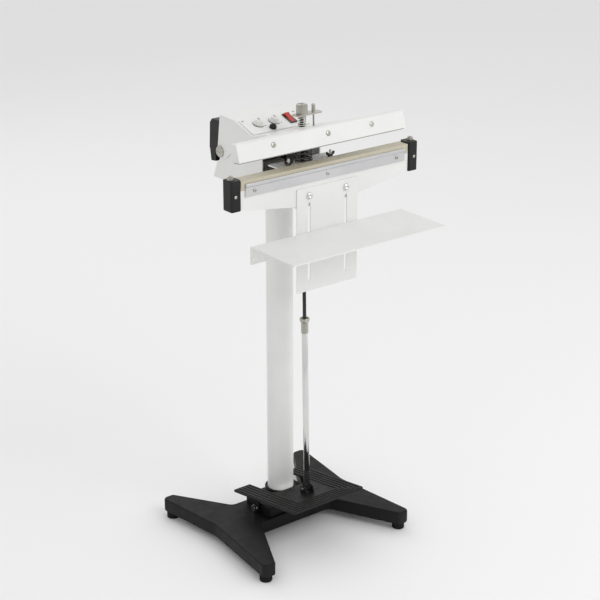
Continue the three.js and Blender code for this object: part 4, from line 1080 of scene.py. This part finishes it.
@dataclass
class PullRod(SubAssembly):
    """The rod from the pedal to the arm, with what is threaded on it."""

    lean: float = math.radians(-1.247)
    thread_pitch: float = 1.25 * MM
    thread_radius: float = 4 * MM

    def build(self) -> None:
        """Build the rod and the pieces on it."""
        self.turn = Matrix.Rotation(self.lean, 4, "X")
        self.from_node("rod_end", BLACK_PAINT, 0.6 * MM, 2, 40)
        self.tube()
        self.thread()
        self.adjuster()
        self.striker()
        self.knob()
        self.spring()

    def centre(self, node: str) -> tuple[Vector, float, float]:
        """Find a node's axis and heights in the rod's own frame.

        Args:
            node: The CAD node.

        Returns:
            The axis's place, the node's lowest height and its highest.
        """
        low, high = box_in(node, self.turn)
        middle = (low + high) / 2
        return Vector((middle.x, middle.y, 0)), low.z, high.z

    def on_axis(self, obj: bpy.types.Object, node: str, finish: Finish, body: str = "") -> None:
        """Put a piece turned about Z on a node's axis.

        Args:
            obj: The piece, at its own height.
            node: The CAD node that it stands for.
            finish: Its surface.
            body: Its body, if that isn't the rod.
        """
        obj.location = self.centre(node)[0]
        self.keep(obj, finish, node, body=body, turn=self.turn)

    def tube(self) -> None:
        """Turn the chromed tube."""
        _, low, high = self.centre("rod_tube")
        tube = turned(
            "rod_tube_chrome",
            [
                (5.1 * MM, low),
                (6.2 * MM, low),
                (6.5 * MM, low + 0.4 * MM),
                (6.5 * MM, high - 0.4 * MM),
                (6.2 * MM, high),
                (5.1 * MM, high),
                (5.1 * MM, low),
            ],
            64,
        )
        soften(tube, 0)
        self.on_axis(tube, "rod_tube", CHROME)

    def thread(self) -> None:
        """Turn the threaded rod with its rings of thread."""
        _, low, high = self.centre("threaded_rod")
        crest = self.thread_radius
        valley = crest - 0.6 * MM
        profile = [(0.0, low), (valley, low)]
        count = int((high - low) / self.thread_pitch) - 1
        for i in range(count):
            base = low + (i + 0.25) * self.thread_pitch
            profile.append((valley, base))
            profile.append((crest, base + 0.45 * self.thread_pitch))
            profile.append((crest, base + 0.55 * self.thread_pitch))
        profile += [(valley, high - 0.3 * self.thread_pitch), (valley, high), (0.0, high)]
        self.on_axis(turned("threaded_rod_steel", profile, 20), "threaded_rod", DARK_STEEL)

    def adjuster(self) -> None:
        """Turn the adjuster nut with its flared, knurled rim."""
        _, low, high = self.centre("adjuster_nut")
        nut = turned(
            "adjuster_nut_turned",
            [
                (4.3 * MM, low),
                (7.2 * MM, low),
                (7.6 * MM, low + 0.5 * MM),
                (7.6 * MM, high - 12 * MM),
                (8.2 * MM, high - 10 * MM),
                (10.4 * MM, high - 5.6 * MM),
                (10.7 * MM, high - 5 * MM),
                (10.7 * MM, high - 1.4 * MM),
                (10.2 * MM, high - 0.4 * MM),
                (9.2 * MM, high),
                (8.4 * MM, high - 0.8 * MM),
                (7 * MM, high - 6 * MM),
                (4.3 * MM, high - 6 * MM),
                (4.3 * MM, low),
            ],
            56,
        )
        ribbed(nut, 10.7 * MM, high - 5 * MM, high - 1.4 * MM, 0.25 * MM)
        soften(nut, 0)
        self.on_axis(nut, "adjuster_nut", ZINC, "adjuster")

    def striker(self) -> None:
        """Build the striker plate and the knurled screw through it."""
        self.from_node("striker_plate", ZINC, 0.5 * MM, 2, 50)
        _, low, high = self.centre("striker_screw")
        screw = turned(
            "striker_screw_turned",
            [
                (0, low),
                (1.1 * MM, low),
                (1.5 * MM, low + 0.4 * MM),
                (1.5 * MM, high - 16 * MM),
                (3.6 * MM, high - 16 * MM),
                (3.8 * MM, high - 15.6 * MM),
                (3.8 * MM, high - 1.2 * MM),
                (3.1 * MM, high),
                (0, high),
            ],
            40,
        )
        ribbed(screw, 3.8 * MM, high - 15.6 * MM, high - 1.2 * MM, 0.2 * MM)
        soften(screw, 0)
        self.on_axis(screw, "striker_screw", ZINC, "striker")

    def knob(self) -> None:
        """Turn the knurled pressure knob with its recessed top."""
        _, low, high = self.centre("pressure_knob")
        knob = turned(
            "pressure_knob_turned",
            [
                (4.3 * MM, low),
                (10.8 * MM, low),
                (11.5 * MM, low + 0.8 * MM),
                (11.5 * MM, low + 2.6 * MM),
                (11.7 * MM, low + 3 * MM),
                (11.7 * MM, high - 3.4 * MM),
                (11.4 * MM, high - 3 * MM),
                (11.2 * MM, high - 1.2 * MM),
                (10 * MM, high - 0.2 * MM),
                (8.5 * MM, high),
                (7.5 * MM, high - 0.8 * MM),
                (0, high - 0.8 * MM),
                (0, high - 3.5 * MM),
                (4.3 * MM, high - 3.5 * MM),
                (4.3 * MM, low),
            ],
            72,
        )
        ribbed(knob, 11.7 * MM, low + 3 * MM, high - 3.4 * MM, 0.3 * MM)
        soften(knob, 0)
        self.on_axis(knob, "pressure_knob", ZINC, "knob")

    def spring(self) -> None:
        """Wind the pressure spring."""
        place, low, high = self.centre("pressure_spring")
        spring = helix("pressure_spring_wire", 7.8 * MM, 1.1 * MM, low, high, 3)
        spring.location = place
        self.keep(spring, ZINC, "pressure_spring", turn=self.turn)


# ---------- head ----------


@dataclass
class Head(SubAssembly):
    """The fixed channel on the column and what it carries."""

    spring_radius: float = 17.5 * MM
    spring_wire: float = 1.6 * MM
    arm_joint: str = "arm_hinge"
    spring_keep: float = 0.65

    def build(self) -> None:
        """Build the head's pieces."""
        self.from_node("head_frame", WHITE_PAINT, 0.7 * MM, 2, 40)
        self.from_node("jaw_support", WHITE_PAINT, 0.5 * MM, 2, 40)
        self.gland()
        self.pivot()
        self.transformer()
        self.return_spring()
        self.wing_nuts()

    def gland(self) -> None:
        """Turn the rubber gland round the cord's inlet."""
        low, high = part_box("cord_gland")
        centre = (low + high) / 2
        gland = turned(
            "cord_gland_rubber",
            [
                (3.6 * MM, -7 * MM),
                (6.2 * MM, -7 * MM),
                (7 * MM, -6.2 * MM),
                (7 * MM, 4 * MM),
                (6.7 * MM, 6 * MM),
                (5.6 * MM, 7 * MM),
                (4.4 * MM, 6.6 * MM),
                (3.6 * MM, 5.4 * MM),
                (3.6 * MM, -7 * MM),
            ],
        )
        soften(gland, 0)
        gland.matrix_world = Matrix.Translation(centre) @ along(Vector((0, 1, 0)))
        self.keep(gland, FOOT_RUBBER, "cord_gland")

    def pivot(self) -> None:
        """Turn the arm's pivot shaft with a domed head at each end."""
        low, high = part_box("pivot_shaft")
        centre = (low + high) / 2
        half = (high.x - low.x) / 2
        head = 5 * MM
        profile: Profile = [(0, -half)]
        dome = [(6 * MM, 0), (9.5 * MM, 0.5 * MM), (11.4 * MM, 1.7 * MM), (12 * MM, 3 * MM)]
        profile += [(r, -half + z) for r, z in dome]
        profile += [(12 * MM, -half + head), (6 * MM, -half + head)]
        profile += [(r, -z) for r, z in reversed(profile)]
        shaft = turned("pivot_shaft_steel", profile, 64)
        tools = []
        for end in (-half, half):
            slot = slab("slot", Vector((-8 * MM, -0.8 * MM, -1 * MM)), Vector((8 * MM, 0.8 * MM, 1 * MM)))
            slot.location.z = end
            tools.append(settle(slot))
        carve(shaft, *tools)
        soften(shaft, 0.2 * MM, 2, 50)
        shaft.matrix_world = Matrix.Translation(centre) @ along(Vector((1, 0, 0)))
        self.keep(shaft, ZINC, "pivot_shaft")

    def transformer(self) -> None:
        """Build the transformer's core and its taped winding."""
        low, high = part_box("transformer")
        node = self.merged_copy("transformer")
        node.name = "transformer_core"
        soften(node, 0.6 * MM, 2, 50)
        node.data.materials.append(LAMINATIONS.material())
        node.data.materials.append(WINDING_TAPE.material())
        reach = (high.x - low.x) / 2 - 24 * MM
        for face in node.data.polygons:
            inside = abs(face.center.x) < reach
            end = abs(face.center.y - (low.y + high.y) / 2) > 21.2 * MM
            face.material_index = 1 if inside and end and face.center.z > low.z + 4 * MM else 0
        self.keep(node, LAMINATIONS, "transformer")

    def return_spring(self) -> None:
        """Wind the return spring at a fixed length; the real one shortens as the arm comes down."""
        low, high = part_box("return_spring")
        centre = (low + high) / 2
        spring = helix("return_spring_wire", self.spring_radius, self.spring_wire, low.z, high.z, 6)
        spring.location = (centre.x, centre.y, 0)
        self.keep(spring, SPRING_STEEL, "return_spring")
        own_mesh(spring)

    def wing_nuts(self) -> None:
        """Work the two wing nuts up from their CAD shapes."""
        for side in ("left", "right"):
            nut = self.merged_copy(f"wing_nut_{side}")
            soften(nut, 0.6 * MM, 3, 35)
            self.keep(nut, DARK_STEEL, f"wing_nut_{side}", body=f"wing_{side}")


# ---------- lower jaw ----------


@dataclass
class LowerJaw(SubAssembly):
    """The heated jaw between its two end blocks."""

    screw_radius: float = 4 * MM
    screw_height: float = 2.4 * MM
    face_screw_x: float = 230 * MM
    face_screw_height: float = 31 * MM
    terminal_radius: float = 6.7 * MM

    def build(self) -> None:
        """Build the lower jaw's pieces."""
        self.from_node("lower_jaw_beam", WHITE_PAINT, 0.7 * MM, 2, 40)
        self.from_node("heater_bar", BAKELITE, 0.4 * MM)
        self.from_node("heating_element", RIBBON, 0.1 * MM)
        self.from_node("heat_cover", COATED_CLOTH, 0.15 * MM)
        self.from_node("clamp_strip", ALUMINIUM, 0.25 * MM, 2, 30)
        self.screws()
        self.ends()

    def screws(self) -> None:
        """Model one screw and put a copy at each place along the strip."""
        master = cross_head("clamp_screw", self.screw_radius, self.screw_height, 2 * MM, 7 * MM)
        for place in ("left", "middle", "right"):
            node = f"clamp_screw_{place}"
            low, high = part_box(node)
            screw = copy_of(master, f"{node}_steel")
            seat = Vector(((low.x + high.x) / 2, low.y + self.screw_height, (low.z + high.z) / 2))
            screw.matrix_world = Matrix.Translation(seat) @ along(Vector((0, -1, 0)))
            self.keep(screw, ZINC, node)
        bpy.data.objects.remove(master)

    def ends(self) -> None:
        """Build the moulded end blocks, their face screws and the terminals on top."""
        face_screw = cross_head("face_screw", 3.4 * MM, 1.6 * MM, 1.5 * MM, 3 * MM)
        terminal = self.terminal()
        for side, sign in SIDES:
            block = f"end_block_{side}"
            self.from_node(block, BLACK_PLASTIC, 0.6 * MM, 2, 35)
            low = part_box(block)[0]
            screw = copy_of(face_screw, f"{block}_screw")
            height = low.z + self.face_screw_height
            seat = Vector((sign * self.face_screw_x, low.y + 0.02 * MM, height))
            screw.matrix_world = Matrix.Translation(seat) @ along(Vector((0, -1, 0)))
            self.keep(screw, ZINC)
            node = f"terminal_screw_{side}"
            low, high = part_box(node)
            nut = copy_of(terminal, f"{node}_brass")
            nut.location = ((low.x + high.x) / 2, (low.y + high.y) / 2, low.z)
            self.keep(nut, ZINC, node)
        bpy.data.objects.remove(face_screw)
        bpy.data.objects.remove(terminal)

    def terminal(self) -> bpy.types.Object:
        """Turn a knurled terminal nut with a slot across its top.

        Returns:
            The nut, with its foot at the origin.
        """
        low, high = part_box("terminal_screw_left")
        tall = high.z - low.z
        radius = self.terminal_radius
        nut = turned(
            "terminal",
            [
                (0, 0),
                (radius - 0.5 * MM, 0),
                (radius, 0.6 * MM),
                (radius, tall - 3 * MM),
                (radius - 0.2 * MM, tall - 2.6 * MM),
                (radius - 1.1 * MM, tall - 2 * MM),
                (radius - 1.5 * MM, tall - 0.6 * MM),
                (radius - 2.1 * MM, tall),
                (0, tall),
            ],
            48,
        )
        ribbed(nut, radius, 0.6 * MM, tall - 3 * MM, 0.25 * MM)
        slot = slab(
            "slot", Vector((-8 * MM, -0.6 * MM, tall - 1.2 * MM)), Vector((8 * MM, 0.6 * MM, tall + MM))
        )
        return soften(carve(nut, slot), 0)


# ---------- bracket and table ----------


@dataclass
class Bracket(SubAssembly):
    """The slotted plate under the jaw and its two bolts."""

    head_radius: float = 7.5 * MM
    head_height: float = 4.5 * MM
    shank_radius: float = 4 * MM
    nut_radius: float = 7 * MM
    nut_depth: float = 5.4 * MM

    def build(self) -> None:
        """Build the plate and its bolts."""
        self.from_node("bracket_plate", WHITE_PAINT, 0.6 * MM, 2, 50)
        low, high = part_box("bracket_bolt_left")
        length = high.y - low.y - self.head_height
        master = with_nut(
            socket_head("bracket_bolt", self.head_radius, self.head_height, self.shank_radius, length),
            self.nut_radius,
            self.nut_depth,
            length,
        )
        self.screw_in(master, "bracket_bolt", "chrome", self.head_height, CHROME)


@dataclass
class WorkTable(SubAssembly):
    """The folded table that slides up and down in the plate's slots."""

    head_radius: float = 6 * MM
    head_height: float = 3.2 * MM
    shank_radius: float = 2.8 * MM
    nut_depth: float = 4.4 * MM

    def build(self) -> None:
        """Build the table and its screws."""
        self.from_node("work_table", WHITE_PAINT, 0.7 * MM, 2, 40)
        low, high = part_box("table_screw_left")
        length = high.y - low.y - self.head_height
        master = with_nut(
            cross_head("table_screw", self.head_radius, self.head_height, self.shank_radius, length),
            self.head_radius,
            self.nut_depth,
            length,
        )
        self.screw_in(master, "table_screw", "steel", self.head_height, ZINC)


# ---------- upper arm ----------


@dataclass
class UpperArm(SubAssembly):
    """The hinged arm with the upper jaw, the rear cover and the control panel."""

    opening: float = math.radians(-6.9)
    face_lean: float = math.radians(10.3)
    panel_slope: float = math.radians(18.62)
    screw_radius: float = 5.6 * MM
    panel_screw_x: float = 66 * MM
    dial_radius: float = 9.5 * MM
    scale_radius: float = 13 * MM
    scale_shift: tuple[float, float] = (2 * MM, 1.6 * MM)
    scale_marks: tuple[tuple[float, float, float], ...] = (
        (11.2 * MM, 6 * MM, 1.8 * MM),
        (12 * MM, -9 * MM, 1.4 * MM),
    )

    def build(self) -> None:
        """Build the arm's pieces."""
        self.tilt = Matrix.Rotation(self.opening, 4, "X")
        self.slope = Matrix.Rotation(self.panel_slope, 4, "X")
        self.from_node("upper_arm", WHITE_PAINT, 0.7 * MM, 2, 40)
        self.from_node("jaw_bar", WHITE_PAINT, 0.6 * MM, 2, 40)
        self.from_node("pressure_rubber", SILICONE, 0.8 * MM)
        self.from_node("rear_cover", BLACK_PLASTIC, 1.2 * MM, 3, 25)
        self.jaw_screws()
        self.switch()
        self.panel()
        self.dials()
        self.fuse()
        self.rocker()
        self.board()

    def jaw_screws(self) -> None:
        """Model one screw and set a copy square on the leaning face at each place."""
        turn = along(self.tilt @ Matrix.Rotation(math.pi / 2 - self.face_lean, 4, "X") @ Vector((0, 0, 1)))
        master = socket_head("jaw_screw", self.screw_radius, 1.8 * MM, 2 * MM, 27 * MM)
        for place in ("left", "middle", "right"):
            node = f"jaw_screw_{place}"
            low, high = box_in(node, turn)
            screw = copy_of(master, f"{node}_steel")
            screw.location = ((low.x + high.x) / 2, (low.y + high.y) / 2, high.z - 1.8 * MM)
            self.keep(screw, ZINC, node, turn=turn)
        bpy.data.objects.remove(master)

    def switch(self) -> None:
        """Build the micro switch and its plunger."""
        self.from_node("micro_switch", BLACK_PLASTIC, 0.3 * MM)
        self.dress_node("switch_plunger", RED_PLASTIC)

    def panel(self) -> None:
        """Build the panel's plate and its corner screws."""
        self.from_node("control_panel", WHITE_PAINT, 0.3 * MM, 2, 40)
        high = box_in("control_panel", self.slope)[1]
        master = cross_head("panel_screw", 2.6 * MM, 1.4 * MM, 1.2 * MM, 2 * MM)
        for side, sign in SIDES:
            screw = copy_of(master, f"panel_screw_{side}")
            screw.location = (sign * self.panel_screw_x, high.y - 7 * MM, high.z - 0.02 * MM)
            self.keep(screw, ZINC, turn=self.slope)
        bpy.data.objects.remove(master)

    def dials(self) -> None:
        """Turn one timer dial, put a copy on each shaft and print the scales round them."""
        top_of_panel = box_in("control_panel", self.slope)[1].z
        low, high = box_in("dial_left", self.slope)
        master = self.dial(high.z - low.z)
        scale = self.scale()
        for side in ("left", "right"):
            node = f"dial_{side}"
            low, high = box_in(node, self.slope)
            centre = (low + high) / 2
            dial = copy_of(master, f"{node}_cap")
            dial.location = (centre.x, centre.y, low.z)
            self.keep(dial, WHITE_PLASTIC, node, body=f"timer_dial_{side}", turn=self.slope)
            printed = copy_of(scale, f"dial_scale_{side}")
            printed.location = (centre.x, centre.y, top_of_panel)
            self.keep(printed, PRINT_INK, turn=self.slope)
        bpy.data.objects.remove(master)
        bpy.data.objects.remove(scale)

    def dial(self, tall: float) -> bpy.types.Object:
        """Turn a fluted dial with a black pointer line.

        Args:
            tall: The dial's height.

        Returns:
            The dial, with its foot at the origin.
        """
        radius = self.dial_radius
        dial = turned(
            "dial",
            [
                (3.3 * MM, 0),
                (radius, 0),
                (radius, 1.8 * MM),
                (radius - 0.6 * MM, 2.4 * MM),
                (radius - 1.6 * MM, tall - 2.6 * MM),
                (radius - 2 * MM, tall - 1.6 * MM),
                (radius - 2.8 * MM, tall - 1 * MM),
                (0, tall - 0.8 * MM),
                (0, tall - 3.2 * MM),
                (3.3 * MM, tall - 3.2 * MM),
                (3.3 * MM, 0),
            ],
            60,
        )
        ribbed(dial, radius - 1.1 * MM, 3 * MM, tall - 3 * MM, 0.25 * MM)
        soften(dial, 0)
        mark = slab(
            "mark",
            Vector((-0.5 * MM, 1 * MM, tall - 1.6 * MM)),
            Vector((0.5 * MM, radius - 3 * MM, tall - 0.05 * MM)),
        )
        mark.data.materials.append(PRINT_INK.material())
        dial.data.materials.append(WHITE_PLASTIC.material())
        return join(dial, mark)

    def scale(self) -> bpy.types.Object:
        """Print a crescent that widens round a dial's lower left, with a mark at each end.

        Returns:
            The print, centred on the dial's axis.
        """
        outer, thick = self.scale_radius, 0.12 * MM
        disc = turned("scale", [(0, -0.05 * MM), (outer, -0.05 * MM), (outer, thick), (0, thick)], 72)
        inner = outer - 0.3 * MM
        away = turned("scale_cut", [(0, -1 * MM), (inner, -1 * MM), (inner, 1 * MM), (0, 1 * MM)], 72)
        away.location = (*self.scale_shift, 0)
        carve(disc, settle(away))
        marks = []
        for x, y, half in self.scale_marks:
            low = Vector((x - 0.8 * MM, y - half, -0.05 * MM))
            marks.append(slab("scale_mark", low, Vector((x + 0.8 * MM, y + half, thick))))
        return soften(join(disc, *marks), 0)

    def fuse(self) -> None:
        """Turn the fuse holder's cap with its slot."""
        low, high = box_in("fuse_cap", self.slope)
        centre = (low + high) / 2
        cap = turned(
            "fuse_cap_moulded",
            [
                (0, low.z),
                (5.5 * MM, low.z),
                (5.5 * MM, high.z - 5.7 * MM),
                (7.2 * MM, high.z - 5.7 * MM),
                (7.3 * MM, high.z - 5.2 * MM),
                (7.3 * MM, high.z - 1 * MM),
                (6.6 * MM, high.z),
                (0, high.z),
            ],
            48,
        )
        ribbed(cap, 7.3 * MM, high.z - 5.2 * MM, high.z - 1 * MM, 0.15 * MM)
        slot = slab(
            "slot",
            Vector((-5 * MM, -0.7 * MM, high.z - 1.2 * MM)),
            Vector((5 * MM, 0.7 * MM, high.z + MM)),
        )
        carve(cap, slot)
        soften(cap, 0)
        cap.location = (centre.x, centre.y, 0)
        self.keep(cap, BLACK_PLASTIC, "fuse_cap", body="fuse", turn=self.slope)

    def rocker(self) -> None:
        """Build the rocker switch's housing and its red button."""
        self.from_node("rocker_housing", GLOSS_BLACK, 0.35 * MM, 2, 40)
        button = self.merged_copy("rocker_button")
        soften(button, 0.5 * MM, 3, 20)
        self.keep(button, RED_PLASTIC, "rocker_button", body="rocker")

    def board(self) -> None:
        """Build the timer's board."""
        self.from_node("timer_board", CIRCUIT_BOARD, 0.2 * MM, 1, 50)


# ---------- studio ----------


@dataclass
class Studio:
    """The floor, the lights and the camera."""

    lens: float = 98.6
    place: Vector = field(default_factory=lambda: Vector((-1.9985, -2.56585, 1.8228)))
    forward: Vector = field(default_factory=lambda: Vector((0.5736, 0.7340, -0.3636)))
    floor_tone: float = 0.9

    def build(self) -> None:
        """Build the studio round the machine."""
        self.floor()
        self.area("key_light", (0.6, -3.0, 2.9), 2.0, 34.0)
        self.area("fill_light", (2.8, -1.6, 1.6), 2.4, 8.0)
        self.area("rear_light", (0.6, 2.8, 2.6), 2.4, 10.0)
        world = bpy.data.worlds.new("studio_world")
        world.use_nodes = True
        sky = world.node_tree.nodes["Background"]
        sky.inputs["Color"].default_value = (1.0, 1.0, 1.0, 1.0)
        sky.inputs["Strength"].default_value = 0.8
        bpy.context.scene.world = world
        self.camera()

    def floor(self) -> None:
        """Lay a plain pale floor under the feet."""
        deselect()
        bpy.ops.mesh.primitive_plane_add(size=30)
        floor = bpy.context.object
        floor.name = "studio_floor"
        material = bpy.data.materials.new("pale_floor")
        material.use_nodes = True
        shader = material.node_tree.nodes["Principled BSDF"]
        tone = self.floor_tone
        shader.inputs["Base Color"].default_value = (tone, tone, tone, 1.0)
        shader.inputs["Roughness"].default_value = 0.9
        floor.data.materials.append(material)

    def area(self, name: str, place: tuple[float, float, float], size: float, power: float) -> None:
        """Hang a soft area light that looks at the machine's middle.

        Args:
            name: The light's name.
            place: Where it hangs.
            size: Its width.
            power: Its power in watts.
        """
        deselect()
        bpy.ops.object.light_add(type="AREA", location=place)
        light = bpy.context.object
        light.name = name
        light.data.size = size
        light.data.energy = power
        aim = Vector((0, 0, 0.55)) - Vector(place)
        light.rotation_euler = aim.to_track_quat("-Z", "Y").to_euler()

    def camera(self) -> None:
        """Stand the camera where the operator's left shoulder would be."""
        deselect()
        bpy.ops.object.camera_add(location=self.place)
        camera = bpy.context.object
        camera.name = "studio_camera"
        camera.data.lens = self.lens
        camera.data.clip_end = 50
        camera.rotation_euler = self.forward.to_track_quat("-Z", "Y").to_euler()
        bpy.context.scene.camera = camera
        bpy.context.scene.view_settings.view_transform = "Standard"


def main() -> None:
    """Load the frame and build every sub-assembly."""
    logging.basicConfig(level=logging.INFO, format="%(name)s %(message)s")
    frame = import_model()
    for assembly in (
        Stand(frame, "stand"),
        Pedal(frame, "pedal_lever"),
        PullRod(frame, "pull_rod"),
        Head(frame, "stand"),
        LowerJaw(frame, "stand"),
        Bracket(frame, "stand"),
        WorkTable(frame, "table"),
        UpperArm(frame, "arm"),
    ):
        assembly.build()
    Studio().build()
    deselect()


if __name__ == "__main__":
    main()
